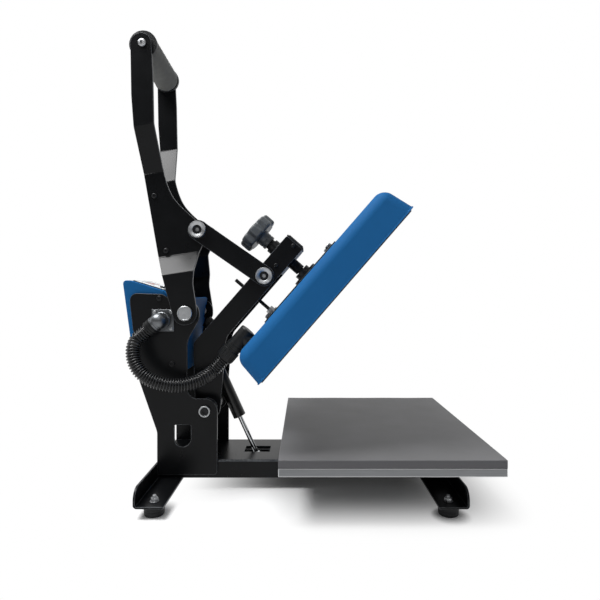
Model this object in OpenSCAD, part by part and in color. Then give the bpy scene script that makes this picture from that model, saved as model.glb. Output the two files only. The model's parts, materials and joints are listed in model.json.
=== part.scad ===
// Manual heat press, shown open: a heated platen hangs below a swinging arm, and a
// hand lever closes it onto a padded lower platen through a toggle linkage.
// Millimetres. +X is the front, +Z is up. The origin is on the floor, below the middle.

/* [Platens] */
// Front to back length of both platens
platen_l = 400; // [340:5:430]
// Side to side width of both platens
platen_w = 500; // [420:5:560]
// Distance from the closed spindle forward to the middle of the lower platen
platen_fore = 7; // [0:1:12]
// Thickness of the lower aluminium platen
lower_t = 15; // [12:1:20]
// Thickness of the silicone pad
pad_t = 15; // [8:1:20]
// Thickness of the heated platen
heat_t = 14; // [10:1:18]
// Part of the heated platen that shows below its cover
heat_lip = 2.5; // [1:0.5:8]
// Gap left over the pad when the press is closed
press_gap = 0.5; // [0.3:0.1:2]
// Height of the platen cover
cover_h = 63; // [52:1:70]
// Wall of the platen cover
cover_wall = 2.5; // [2:0.5:4]
// How far the cover stands out past the heated platen
cover_margin = 7; // [4:0.5:10]
// Draft of the cover from its rim to its top
cover_draft = 8; // [4:1:12]
// Radius of the cover's corners in plan
cover_corner = 14; // [11:1:24]
// Radius of the cover's top edge
cover_round = 22; // [8:1:26]

/* [Base] */
// Height of the rubber feet
foot_h = 20; // [12:1:30]
// Largest diameter of the rubber feet
foot_d = 40; // [30:1:44]
// Place of the rear feet, front to back
foot_x = -266; // [-272:1:-262]
// Distance from the rear feet to the front feet
foot_span = 550; // [520:5:580]
// Distance of each foot from the middle
foot_y = 186; // [160:2:190]
// Length of the crossbars
bar_l = 424; // [420:2:460]
// Width of the crossbar webs
bar_w = 56; // [52:1:64]
// Distance from a foot to the inner edge of its crossbar
foot_inset = 24; // [22:1:26]
// Sheet thickness of the crossbars
bar_t = 4; // [3:0.5:6]
// Height of the crossbar flanges
flange_h = 36; // [24:1:40]
// Width of the base channel
base_w = 145; // [136:1:160]
// Height of the base channel
base_h = 38; // [34:1:44]
// Sheet thickness of the base channel
base_t = 4; // [3:0.5:6]
// Height of the rails under the lower platen
rail_h = 31; // [26:1:36]
// Width of the rails
rail_w = 40; // [32:1:60]
// Length of the rails
rail_l = 340; // [300:5:400]
// Distance between the rails
rail_span = 200; // [140:5:240]
// Distance from the front end of the base channel back to the front rail
rail_back = 43; // [32:1:60]
// Wall of the rails
rail_t = 3; // [2:0.5:4]

/* [Column] */
// Place of the arm pivot, front to back
pivot_x = -194; // [-198:1:-190]
// Height of the arm pivot
pivot_z = 166; // [160:1:172]
// Distance from the arm pivot back to the lever pivot
hinge_back = 38; // [34:1:42]
// Rise from the arm pivot to the lever pivot
hinge_rise = 205; // [200:1:210]
// Thickness of the column plates
col_t = 6; // [5:0.5:8]
// Radius of the column plates around each pivot
ear_r = 26; // [24:0.5:28]
// Radius of the arm shaft
shaft_r = 10; // [8:0.5:12]
// Radius of the lever pivot bolts
hinge_r = 8; // [6:0.5:9]
// Thickness of the washers beside the lever
washer_t = 4.6; // [4.4:0.1:6]

/* [Control housing] */
// Wall of the control housing
house_t = 3; // [2:0.5:4]
// Width of the control panel
panel_w = 124; // [110:1:130]
// Thickness of the control panel
panel_t = 2; // [1.5:0.1:3]
// Width of the display
display_w = 66; // [50:1:90]
// Height of the display
display_h = 28; // [20:1:30]
// Diameter of the push buttons
button_d = 12; // [8:0.5:14]
// Distance between the push buttons
button_pitch = 30; // [20:1:36]
// Travel of the push buttons
button_travel = 1.5; // [0.5:0.1:2]

/* [Arm] */
// Angle of the open arm
arm_open = 49; // [44:0.5:52]
// Distance from the arm pivot to the pressure spindle
spindle_u = 356; // [350:1:365]
// Width of the arm
arm_w = 92; // [84:1:94]
// Sheet thickness of the arm
arm_t = 5; // [4:0.5:6]
// Height of the beam's underside over the arm pivot
beam_w0 = 70; // [66:1:74]
// Depth of the beam
beam_h = 45; // [40:1:48]
// Distance from the arm pivot to the beam's rear corner
beam_u0 = 84; // [84:1:92]
// Length of beam past the spindle
beam_over = 36; // [36:1:44]
// Thickness of the end cap
cap_t = 6; // [4:0.5:10]
// Distance from the spindle back to the link pin, along the beam
pin_back = 61.5; // [58:0.5:70]
// Height of the link pin over the arm pivot
pin_w = 93.4; // [90:0.1:96]
// Radius of the link pins
pin_r = 10; // [8:0.5:11]
// Radius of the hold magnet
magnet_r = 13.5; // [10:0.5:16]
// Height of the hold magnet
magnet_h = 15; // [8:0.5:15]

/* [Hand lever] */
// Distance from the lever pivot to the grip
grip_s = 565; // [540:5:590]
// Place of the toggle pin along the lever
nose_s = 171.9; // [168:0.1:176]
// Place of the toggle pin in front of the lever
nose_t = 46.1; // [43:0.1:49]
// Radius of the lever around the toggle pin
nose_r = 22; // [20:0.5:24]
// Plate thickness of the lever
plate_t = 6; // [5:0.5:7]
// Distance from the middle to the outside of the lever, at the toggle
mid_y = 50; // [49.5:0.5:54]
// Distance from the middle to the outside of the lever, at the grip
grip_y = 95; // [85:1:105]
// Height of the lower bend's start
bend_a = 85; // [78:1:88]
// Height of the lower bend's end
bend_b = 128; // [124:1:130]
// Height of the upper bend's start
bend_c = 310; // [300:1:316]
// Height of the upper bend's end
bend_d = 397; // [390:1:410]
// Diameter of the foam grip
grip_d = 56; // [44:1:60]
// Diameter of the tube in the grip
core_d = 30; // [24:1:34]
// Diameter of the lever's tie rods
tie_d = 14; // [12:0.5:16]
// Diameter of the cross tube at the toggle
tube_d = 30; // [26:0.5:32]
// Thickness of the links
link_t = 8; // [6:0.5:10]
// Width of the links
link_w = 43; // [40:1:46]

/* [Pressure screw] */
// Diameter of the spindle
spindle_d = 25; // [20:0.5:28]
// Diameter of the spindle's lower journal
journal_d = 16; // [12:0.5:18]
// Diameter of the knob
knob_d = 88; // [76:1:96]
// Height of the knob
knob_h = 28; // [22:1:34]
// Number of grips round the knob
knob_lobes = 8; // [5:1:10]
// Height of the knob's underside over the arm
knob_rise = 44; // [42:1:50]
// Diameter of the guide rod
guide_d = 8; // [6:0.5:12]
// Distance from the spindle back to the guide rod
guide_back = 112; // [109:1:117]
// Height of the guide rod over the arm
guide_over = 26; // [18:1:30]
// Thickness of the mount plate
mount_t = 6; // [4:0.5:8]
// Width of the mount plate
mount_w = 112; // [104:1:120]

/* [Gas spring] */
// Place of the spring's lower pin, front to back
spring_x = -90.6; // [-94:0.2:-87]
// Drop from the base channel's top to the spring's lower pin
spring_drop = 15; // [12:0.5:18]
// Distance from the arm pivot to the upper pin, along the beam
spring_u = 88.7; // [86:0.1:92]
// Height of the upper pin over the arm pivot
spring_w = 88; // [85:0.5:90]
// Diameter of the cylinder
gas_d = 28; // [22:1:30]
// Length from the upper pin to the end of the cylinder
gas_l = 170; // [160:1:176]
// Diameter of the rod
rod_d = 10; // [8:0.5:11]

/* [Hose] */
// Outer diameter of the ribbed hose
hose_d = 28.5; // [24:0.5:30]
// Bore of the ribbed hose
hose_bore = 21; // [16:0.5:22]
// Number of ribs on the hose
hose_ribs = 56; // [30:1:70]
// Distance of the hose elbow from the middle
elbow_y = 78; // [76:1:84]

/* [Fits] */
// Running clearance of a pin in its bore
fit = 0.05; // [0.03:0.01:0.1]
// Clearance between pieces that move past each other
gap = 0.5; // [0.3:0.05:0.6]

/* [Hidden] */
$fn = 48;
BLACK = "#1b1c1e";
BLUE = "#2a6cae";
SILVER = "#c3c6c8";
GREY = "#8d8f90";
RUBBER = "#26272a";

// Levels of the base, from the floor up
bar_top = foot_h + bar_t;
base_top = bar_top + base_h;
rail_top = base_top + rail_h;
lower_top = rail_top + lower_t;
pad_top = lower_top + pad_t;

// Faces across the press, measured from the middle
side = base_w / 2;
col_out = side + col_t;
low_in = col_out + washer_t;
low_y = low_in + plate_t;
link_in = mid_y + gap;
link_out = link_in + link_t;
head_in = link_out + gap;
arm_in = arm_w / 2 - arm_t;

// Places along the base
foot_x1 = foot_x + foot_span;
base_x0 = foot_x + foot_inset - bar_w + bar_t;
base_x1 = foot_x1 - foot_inset + bar_w - bar_t;
platen_x = pivot_x + spindle_u + platen_fore;
slot_l = 56;
slot_w = 40;

// Pivots, as [x, z]
P = [pivot_x, pivot_z];
O = [pivot_x - hinge_back, pivot_z + hinge_rise];
Q = [spring_x, base_top - spring_drop];
function turned(v, a) = [v.x * cos(a) - v.y * sin(a), v.x * sin(a) + v.y * cos(a)];
function heading(a, b) = atan2(b.y - a.y, b.x - a.x);
pin_u = spindle_u - pin_back;
B_closed = P + [pin_u, pin_w];
B = P + turned([pin_u, pin_w], arm_open);
U = P + turned([spring_u, spring_w], arm_open);

// Toggle: lever crank and link lie in one line when the press is closed
crank = norm([nose_t, nose_s]);
link_l = norm(B_closed - O) - crank;
OB = norm(B - O);
crank_open = heading(O, B) + acos((crank * crank + OB * OB - link_l * link_l) / (2 * crank * OB));
A = O + crank * [cos(crank_open), sin(crank_open)];
handle_lean = crank_open + atan2(nose_t, nose_s) - 90;
link_dip = -heading(A, B);
spring_lean = heading(Q, U) - 90;
spring_l = norm(U - Q);

// Levels of the upper platen below the arm, over the arm pivot
beam_top = beam_w0 + beam_h;
beam_u1 = spindle_u + beam_over;
face_w = pad_top + press_gap - pivot_z;
heat_top = face_w + heat_t;
cover_w0 = face_w + heat_lip;
cover_top = cover_w0 + cover_h;
mount_top = cover_top + mount_t;
socket_h = 14;
knob_w0 = beam_top + knob_rise;
guide_u = spindle_u - guide_back;
post_back = 121;
post_fore = 78;
post_y = 40;
posts = [for (du = [-post_back, post_fore]) for (dy = [-post_y, post_y]) [spindle_u + du, dy]];
elbow_inset = 15;
elbow_u = spindle_u - platen_l / 2 + elbow_inset;
elbow_rise = 19;
nut_l = 25;
nut_reach = 37;
nut_u = elbow_u - nut_reach;
element_r = 4;

// Rounded outlines: each point is [x, y, corner radius]
function unit(v) = v / norm(v);
function corner(a, b, c, r, n) = r == 0 ? [b] : let(
    u = unit(a - b),
    v = unit(c - b),
    half = acos(max(-1, min(1, u * v))) / 2,
    o = b + unit(u + v) * r / sin(half),
    p = b + u * r / tan(half) - o,
    q = b + v * r / tan(half) - o,
    a0 = atan2(p.y, p.x),
    s = atan2(q.y, q.x) - a0,
    sweep = s > 180 ? s - 360 : s < -180 ? s + 360 : s
) [for (k = [0:n]) o + r * [cos(a0 + sweep * k / n), sin(a0 + sweep * k / n)]];
function xy(p, i) = let(q = p[(i + len(p)) % len(p)]) [q.x, q.y];
function rounded(p, n = 6) = [
    for (i = [0:len(p) - 1]) each corner(xy(p, i - 1), xy(p, i), xy(p, i + 1), p[i][2], n)
];
// Moves each side of a counterclockwise outline inward by d
function inward(a, b) = let(e = unit(b - a)) [-e.y, e.x];
function inset(p, d) = [for (i = [0:len(p) - 1]) let(
    m = inward(xy(p, i - 1), xy(p, i)),
    n = inward(xy(p, i), xy(p, i + 1)),
    q = xy(p, i) + (m + n) * d / (1 + m * n)
) [q.x, q.y, max(0, p[i][2] - d)]];

// Extrudes an [x, z] outline across the press
module across(y0, y1) { translate([0, y1, 0]) rotate([90, 0, 0]) linear_extrude(y1 - y0) children(); }
// Extrudes a [y, z] outline along the press
module along(x0, x1) { translate([x0, 0, 0]) rotate([90, 0, 90]) linear_extrude(x1 - x0) children(); }
module round_across(p, r, y0, y1) {
    translate([p.x, y1, p.y]) rotate([90, 0, 0]) cylinder(r = r, h = y1 - y0);
}
module both() {
    children();
    mirror([0, 1, 0]) children();
}
module near() { mirror([0, 1, 0]) children(); }
module arm_pose() { translate([P.x, 0, P.y]) rotate([0, -arm_open, 0]) children(); }
module handle_pose() { translate([O.x, 0, O.y]) rotate([0, -handle_lean, 0]) children(); }
module link_pose() { translate([A.x, 0, A.y]) rotate([0, link_dip, 0]) children(); }
module spring_pose() { translate([Q.x, 0, Q.y]) rotate([0, -spring_lean, 0]) children(); }
// A hexagon head or nut on +Z, given across its flats
module hexagon(af, h) { cylinder(r = af / sqrt(3), h = h, $fn = 6); }

// Base

module base_channel() {
    color(BLACK) difference() {
        translate([base_x0, -side, bar_top]) cube([base_x1 - base_x0, base_w, base_h]);
        translate([base_x0 - 1, base_t - side, bar_top - 1])
            cube([base_x1 - base_x0 + 2, base_w - 2 * base_t, base_h - base_t + 1]);
        translate([Q.x - slot_l / 2, -slot_w / 2, base_top - base_t - 1]) cube([slot_l, slot_w, base_t + 2]);
        for (x = rail_xs) for (y = [-rail_bolt_y, rail_bolt_y])
            translate([x, y, base_top - base_t - 1]) cylinder(r = bolt_r + fit, h = base_t + 2);
    }
}

// The feet sit below the web, and the flange stands at its outer edge
module crossbar() {
    outer = foot_inset - bar_w;
    difference() {
        union() {
            translate([outer, -bar_l / 2, foot_h]) cube([bar_w, bar_l, bar_t]);
            along(outer, outer + bar_t) polygon(rounded([
                [-bar_l / 2, foot_h, 0],
                [bar_l / 2, foot_h, 0],
                [bar_l / 2, foot_h + flange_h, flange_h * 0.6],
                [-bar_l / 2, foot_h + flange_h, flange_h * 0.6]
            ], 10));
        }
        for (y = [-foot_y, foot_y]) translate([0, y, foot_h - 1]) cylinder(r = bolt_r + fit, h = bar_t + 2);
    }
}
module rear_crossbar() { color(BLACK) translate([foot_x, 0, 0]) crossbar(); }
module front_crossbar() { color(BLACK) translate([foot_x1, 0, 0]) mirror([1, 0, 0]) crossbar(); }

bolt_r = 4;
foot_bolt_z = 8;
module each_foot() {
    for (x = [foot_x, foot_x1]) for (y = [-foot_y, foot_y]) translate([x, y, 0]) children();
}
module rubber_feet() {
    color(RUBBER) each_foot() difference() {
        cylinder(r1 = foot_d / 2 - 1.5, r2 = foot_d / 2, h = foot_h);
        translate([0, 0, foot_bolt_z]) cylinder(r = bolt_r + fit, h = foot_h);
    }
}
module foot_bolts() {
    color(SILVER) each_foot() {
        translate([0, 0, foot_bolt_z]) cylinder(r = bolt_r, h = bar_top + 12 - foot_bolt_z);
        translate([0, 0, bar_top]) hexagon(13, 6.5);
    }
}

rail_xs = [base_x1 - rail_back - rail_span, base_x1 - rail_back];
rail_bolt_y = 40;
rail_bolt_inset = 20;
platen_bolt_y = rail_l / 2 - rail_bolt_inset;
module platen_rails() {
    color(BLACK) for (x = rail_xs) difference() {
        translate([x - rail_w / 2, -rail_l / 2, base_top]) cube([rail_w, rail_l, rail_h]);
        translate([x - rail_w / 2 + rail_t, -rail_l / 2 - 1, base_top + rail_t])
            cube([rail_w - 2 * rail_t, rail_l + 2, rail_h - 2 * rail_t]);
        for (y = [-rail_bolt_y, rail_bolt_y])
            translate([x, y, base_top - 1]) cylinder(r = bolt_r + fit, h = rail_t + 2);
        for (y = [-platen_bolt_y, platen_bolt_y])
            translate([x, y, rail_top - rail_t - 1]) cylinder(r = bolt_r + fit, h = rail_t + 2);
    }
}
// Heads under the channel and inside the rails, shanks upward
module platen_bolts() {
    color(SILVER) for (x = rail_xs) {
        for (y = [-rail_bolt_y, rail_bolt_y]) translate([x, y, base_top - base_t]) {
            translate([0, 0, -5.5]) hexagon(13, 5.5);
            cylinder(r = bolt_r, h = base_t + rail_t + 9);
            translate([0, 0, base_t + rail_t]) hexagon(13, 6.5);
        }
        for (y = [-platen_bolt_y, platen_bolt_y]) translate([x, y, rail_top - rail_t]) {
            translate([0, 0, -5.5]) hexagon(13, 5.5);
            cylinder(r = bolt_r, h = rail_t + lower_t - 4);
        }
    }
}
module lower_platen() {
    color(GREY) difference() {
        translate([platen_x - platen_l / 2, -platen_w / 2, rail_top]) cube([platen_l, platen_w, lower_t]);
        for (x = rail_xs) for (y = [-platen_bolt_y, platen_bolt_y])
            translate([x, y, rail_top - 1]) cylinder(r = bolt_r + fit, h = lower_t - 3);
    }
}
module silicone_pad() {
    color("#6f6f70") translate([platen_x - platen_l / 2, -platen_w / 2, lower_top])
        cube([platen_l, platen_w, pad_t]);
}

// Column

col_front = O.x + 1;
col_foot = bar_top + 8.5;
column_outline = [
    [base_x0, col_foot, 4],
    [P.x + ear_r, col_foot, 8],
    [P.x + ear_r, P.y + ear_r, ear_r - 0.5],
    [col_front, P.y + ear_r, 22],
    [col_front, O.y - 58, 40],
    [O.x + ear_r, O.y - 12, 16],
    [O.x + ear_r, O.y + ear_r, ear_r - 0.5],
    [O.x - 30, O.y + ear_r, 14],
    [O.x - 51, O.y + 40, 12],
    [O.x - 119, O.y + 42, 14],
    [O.x - 119, O.y + 19, 60],
    [O.x - 100, P.y + 65, 40],
    [base_x0, P.y - 44, 30]
];
tie_at = [O.x - 30, O.y - 106];
house_screw_at = [O.x - 57, O.y + 31];
plug_at = [O.x - 49.4, O.y - 15];
screw_r = 3;
hand_w = 35;
hand_top = P.y - 29;
hand_h = 46;
flange_w = 46;
flange_t = 2;
barrel_r = 15;
module column_plate() {
    difference() {
        across(side, col_out) polygon(rounded(column_outline));
        round_across(P, shaft_r + fit, side - 1, col_out + 1);
        round_across(O, hinge_r + fit, side - 1, col_out + 1);
        round_across(tie_at, screw_r + fit, side - 1, col_out + 1);
        round_across(house_screw_at, screw_r + fit, side - 1, col_out + 1);
        across(side - 1, col_out + 1) polygon(rounded([
            [P.x - 64, hand_top, 3],
            [P.x - 64, hand_top - hand_h, hand_w / 2 - 0.2],
            [P.x - 64 + hand_w, hand_top - hand_h, hand_w / 2 - 0.2],
            [P.x - 64 + hand_w, hand_top, 3]
        ], 10));
    }
}
module column_plate_far() { color(BLACK) column_plate(); }
module column_plate_near() {
    color(BLACK) difference() {
        near() column_plate();
        round_across(plug_at, barrel_r - 3, -col_out - 1, 1 - side);
    }
}
module column_tie() {
    color(BLACK) difference() {
        round_across(tie_at, 8, -side, side);
        both() round_across(tie_at, screw_r + fit, side - 13, side + 1);
    }
}
// Pan head screws: two for the tie, two for the housing and four for the connector flange
module pan_screw(l) {
    translate([0, 0, -l]) cylinder(r = screw_r, h = l);
    cylinder(r = 2 * screw_r, h = 3);
}
module column_screws() {
    color(SILVER) {
        both() translate([tie_at.x, col_out, tie_at.y]) rotate([-90, 0, 0]) pan_screw(col_t + 12);
        both() translate([house_screw_at.x, col_out, house_screw_at.y]) rotate([-90, 0, 0])
            pan_screw(col_t + house_side + house_t);
        near() for (dx = [-1, 1]) for (dz = [-1, 1])
            translate([plug_at.x + dx * flange_screw, col_out + flange_t, plug_at.y + dz * flange_screw])
                rotate([-90, 0, 0]) scale(0.7) pan_screw(flange_t / 0.7);
    }
}
flange_screw = flange_w / 2 - 6;

// Lever pivot: head outside, nut inside the column plate, washer between
pivot_head_r = 15.5;
pivot_nut_h = 8;
module handle_pivot_bolts() {
    color(SILVER) both() {
        difference() {
            union() {
                round_across(O, hinge_r, side - pivot_nut_h - 3, low_y + gap + 1);
                round_across(O, pivot_head_r, low_y + gap, low_y + gap + 9);
                round_across(O, 1.1 * pivot_head_r, col_out, low_in - gap);
                translate([O.x, side, O.y]) rotate([90, 0, 0]) hexagon(22, pivot_nut_h);
            }
            translate([O.x, low_y + gap + 3, O.y]) rotate([-90, 0, 0]) hexagon(10, 7);
        }
    }
}
module arm_pivot_shaft() {
    color(SILVER) {
        round_across(P, shaft_r, -col_out - 1, col_out + 1);
        both() round_across(P, shaft_r + 2, col_out, col_out + 6);
    }
}

// Control housing: closed shell between the column plates

house_side = 0.5;
house_y = side - house_side;
house = [
    [O.x - 137, O.y + 69, 7],
    [O.x - 118, O.y - 71, 6],
    [O.x - 11, O.y - 71, 4],
    [O.x - 11, O.y - 121, 0],
    [O.x - 1, O.y - 121, 3],
    [O.x + 1, O.y - 56, 40],
    [O.x + 10, O.y, 60],
    [O.x + 14, O.y + 35, 5],
    [O.x - 8, O.y + 27, 10],
    [O.x - 32, O.y + 26, 8],
    [O.x - 48, O.y + 46.5, 4],
    [O.x - 121.6, O.y + 69, 4]
];
panel_top = xy(house, 11);
panel_foot = xy(house, 10);
panel_slope = -heading(panel_top, panel_foot);
panel_l = norm(panel_foot - panel_top) - 8;
rear_foot = xy(house, 1);
rear_tilt = heading(rear_foot, xy(house, 0)) - 90;
// Local frame on the sloped panel: x runs down toward the front, z points out
module panel_pose() {
    mid = (panel_top + panel_foot) / 2;
    translate([mid.x, 0, mid.y]) rotate([0, panel_slope, 0]) children();
}
// Local frame on the rear wall, h above its foot: x runs up the wall, z points out
module rear_pose(h) {
    at = rear_foot + h * [-sin(rear_tilt), cos(rear_tilt)];
    translate([at.x, 0, at.y]) rotate([0, -90 - rear_tilt, 0]) children();
}
display_x = -panel_l / 2 + display_h / 2 + 7;
button_x = panel_l / 2 - button_d / 2 - 8;
button_ys = [-button_pitch, 0, button_pitch];
button_hole = button_d / 2 + gap;
switch_h = 62;
switch_y = 30;
gland_h = 24;
gland_y = -20;
gland_r = 8;
module control_housing() {
    color(BLUE) difference() {
        across(-house_y, house_y) polygon(rounded(house));
        across(house_t - house_y, house_y - house_t) polygon(rounded(inset(house, house_t)));
        both() round_across(O, 18, house_y - 11, house_y + 1);
        both() round_across(house_screw_at, screw_r + fit, house_y - house_t - 1, house_y + 1);
        round_across(plug_at, barrel_r - 3, -house_y - 1, house_t + 1 - house_y);
        panel_pose() for (y = button_ys)
            translate([button_x, y, -house_t - 1]) cylinder(r = button_hole, h = house_t + 2);
        rear_pose(switch_h) translate([-bezel_l / 2 + 2.5, switch_y - bezel_w / 2 + 2.5, -house_t - 1])
            cube([bezel_l - 5, bezel_w - 5, house_t + 2]);
        rear_pose(gland_h) translate([0, gland_y, -house_t - 1])
            cylinder(r = gland_r + fit, h = house_t + 2);
    }
}
module control_panel() {
    color("#c9cdd0") panel_pose() difference() {
        along(-panel_l / 2, panel_l / 2) polygon([
            [-panel_w / 2, 0], [panel_w / 2, 0], [panel_w / 2, panel_t], [-panel_w / 2, panel_t]
        ]);
        translate([display_x - display_h / 2 - 0.2, -display_w / 2 - 0.2, -1])
            cube([display_h + 0.4, display_w + 0.4, panel_t + 2]);
        for (y = button_ys) translate([button_x, y, -1]) cylinder(r = button_hole, h = panel_t + 2);
    }
}
module display_window() {
    color("#20303a") panel_pose() translate([display_x - display_h / 2, -display_w / 2, 0])
        cube([display_h, display_w, panel_t - 0.4]);
}
button_low = house_t + 1;
board_top = -button_low - button_travel - 1.5;
board_t = 1.6;
module button(y) {
    panel_pose() translate([button_x, y, -button_low]) difference() {
        cylinder(r = button_d / 2, h = button_low + panel_t + button_travel + 1.5);
        translate([0, 0, -1]) cylinder(r = button_d / 4, h = 3);
    }
}
module button_up() { color("#3a3d40") button(button_ys[0]); }
module button_down() { color("#3a3d40") button(button_ys[1]); }
module button_set() { color("#b3372f") button(button_ys[2]); }
// Circuit board on four standoffs below the panel, with its switches, relay and transformer
module control_board() {
    board_l = panel_l - 12;
    board_w = panel_w - 8;
    color("#2d6b45") panel_pose() {
        translate([-board_l / 2, -board_w / 2, board_top - board_t]) cube([board_l, board_w, board_t]);
        for (x = [-1, 1]) for (y = [-1, 1])
            translate([x * (board_l / 2 - 4), y * (board_w / 2 - 4), board_top])
                cylinder(r = 3, h = -house_t - board_top);
        for (y = button_ys) translate([button_x, y, board_top]) cylinder(r = 3, h = 1);
        translate([-20, -40, board_top - board_t - 18]) cube([28, 22, 18]);
        translate([-24, 0, board_top - board_t - 26]) cube([40, 36, 26]);
    }
}

// Power switch: bezel with a pocket and a cross pin, and a rocker on the pin
bezel_l = 30;
bezel_w = 20;
bezel_t = 2;
rocker_pin_r = 1.5;
rocker_z = -3;
rocker_tilt = 10;
module switch_bezel() {
    color(BLACK) rear_pose(switch_h) translate([0, switch_y, 0]) {
        difference() {
            union() {
                translate([-bezel_l / 2, -bezel_w / 2, 0]) cube([bezel_l, bezel_w, bezel_t]);
                translate([-bezel_l / 2 + 2.6, -bezel_w / 2 + 2.6, -16])
                    cube([bezel_l - 5.2, bezel_w - 5.2, 17]);
            }
            translate([-bezel_l / 2 + 3.6, -bezel_w / 2 + 3.6, -14])
                cube([bezel_l - 7.2, bezel_w - 7.2, 20]);
        }
        translate([0, 0, rocker_z]) rotate([90, 0, 0])
            cylinder(r = rocker_pin_r, h = bezel_w - 6, center = true);
    }
}
module power_rocker() {
    hl = bezel_l / 2 - 4.6;
    hw = bezel_w / 2 - 3.6 - gap;
    color("#b3372f") rear_pose(switch_h) translate([0, switch_y, rocker_z]) rotate([0, -rocker_tilt, 0])
        difference() {
            across(-hw, hw) polygon([
                [-hl, 5], [-hl + 1, -1], [-3, -4], [3, -4], [hl - 1, -1], [hl, 5], [0, 6.5]
            ]);
            rotate([90, 0, 0]) cylinder(r = rocker_pin_r + fit, h = bezel_w, center = true);
        }
}
module cord_gland() {
    color(BLACK) rear_pose(gland_h) translate([0, gland_y, 0]) difference() {
        union() {
            translate([0, 0, -house_t - 6]) cylinder(r = gland_r, h = house_t + 8);
            hexagon(22, 6);
            translate([0, 0, 5]) cylinder(r = 10, h = 5);
            translate([0, 0, 10]) cylinder(r1 = 10, r2 = 7, h = 5);
        }
        translate([0, 0, 7]) cylinder(r = 4, h = 9);
    }
}

// Connector: square flange on the near column plate, right-angle plug and ribbed hose
plug_y = 112;
plug_dip = 40;
plug_reach = 25;
plug_r = 17;
plug_dir = [-cos(plug_dip), 0, -sin(plug_dip)];
module connector_flange() {
    color(SILVER) near() {
        difference() {
            union() {
                across(col_out, col_out + flange_t) translate(plug_at) square(flange_w, center = true);
                round_across(plug_at, barrel_r, col_out, col_out + 11);
                round_across(plug_at, barrel_r - 3 - fit, side - 6, col_out + 1);
            }
            for (dx = [-1, 1]) for (dz = [-1, 1])
                round_across(
                    plug_at + flange_screw * [dx, dz], 0.7 * screw_r + fit,
                    col_out - 1, col_out + flange_t + 1
                );
        }
    }
}
module connector_plug() {
    color("#3b3d40") near() {
        difference() {
            union() {
                round_across(plug_at, plug_r + 1, col_out + flange_t + 1, col_out + 16);
                round_across(plug_at, plug_r - 1, col_out + 15, plug_y);
                translate([plug_at.x, plug_y, plug_at.y]) sphere(r = plug_r);
                translate([plug_at.x, plug_y, plug_at.y]) rotate([0, -90 - plug_dip, 0])
                    cylinder(r = plug_r - 1, h = plug_reach);
            }
            round_across(plug_at, barrel_r + fit, col_out, col_out + 11);
            translate([plug_at.x, plug_y, plug_at.y]) rotate([0, -90 - plug_dip, 0])
                translate([0, 0, plug_reach - 8]) cylinder(r = hose_bore / 2, h = 9);
        }
    }
}

// Hose route: straight out of the plug, free points chosen by hand, straight into the elbow
hose_start = [plug_at.x, -plug_y, plug_at.y] + plug_reach * plug_dir;
hose_end_uw = turned([nut_u - nut_l, cover_top + elbow_rise], arm_open);
hose_end = [P.x + hose_end_uw.x, -elbow_y, P.y + hose_end_uw.y];
hose_end_dir = [cos(arm_open), 0, sin(arm_open)];
hose_free = [
    [-328, -121, 306], [-325, -129, 282], [-313, -133, 260], [-293, -133, 243],
    [-268, -130, 233], [-240, -123, 228], [-213, -112, 231], [-191, -97, 240]
];
hose_way = concat(
    [hose_start, hose_start + hose_d * plug_dir],
    hose_free,
    [hose_end - hose_d * hose_end_dir, hose_end]
);
hose_n = len(hose_way) - 1;
function way(i) = hose_way[max(0, min(hose_n, i))];
// Smooth curve through the points, with the first and last stretches straight
function along_way(i, f) = i == 0 || i == hose_n - 1 ? way(i) + f * (way(i + 1) - way(i)) : let(
    p0 = way(i - 1), p1 = way(i), p2 = way(i + 1), p3 = way(i + 2),
    d = norm(p2 - p1),
    m1 = d * unit(unit(p1 - p0) / norm(p1 - p0) + unit(p2 - p1) / d),
    m2 = d * unit(unit(p2 - p1) / d + unit(p3 - p2) / norm(p3 - p2))
) (2 * f * f * f - 3 * f * f + 1) * p1 + (f * f * f - 2 * f * f + f) * (i == 1 ? d * plug_dir : m1)
    + (3 * f * f - 2 * f * f * f) * p2 + (f * f * f - f * f) * (i == hose_n - 2 ? d * hose_end_dir : m2);
// Fine points, their running lengths, and points at even distances along them
fine_n = 16;
fine = concat(
    [for (i = [0:hose_n - 1]) for (k = [0:fine_n - 1]) along_way(i, k / fine_n)],
    [hose_end]
);
function sums(v, i = 0, s = 0) = i >= len(v) - 1 ? [s]
    : concat([s], sums(v, i + 1, s + norm(v[i + 1] - v[i])));
run = sums(fine);
hose_l = run[len(run) - 1];
function at_run(d) = let(
    i = max(0, min(len(run) - 2, len([for (r = run) if (r <= d) 1]) - 1)),
    f = (d - run[i]) / (run[i + 1] - run[i])
) fine[i] + f * (fine[i + 1] - fine[i]);
rings = 2 * hose_ribs + 1;
ring_step = hose_l / (rings - 1);
ring_p = [for (k = [0:rings - 1]) k == rings - 1 ? hose_end : at_run(k * ring_step)];
ring_t = [for (k = [0:rings - 1]) k < 3 ? plug_dir
    : k > rings - 4 ? hose_end_dir
    : unit(ring_p[k + 1] - ring_p[k - 1])];
sides = 8;
rib_h = 2.4;
function ring(k, r) = let(
    n = unit(cross(ring_t[k], [0, 1, 0])),
    m = cross(n, ring_t[k])
) [for (j = [0:sides - 1]) let(a = 360 * j / sides) ring_p[k] + r * (cos(a) * n + sin(a) * m)];
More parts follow.
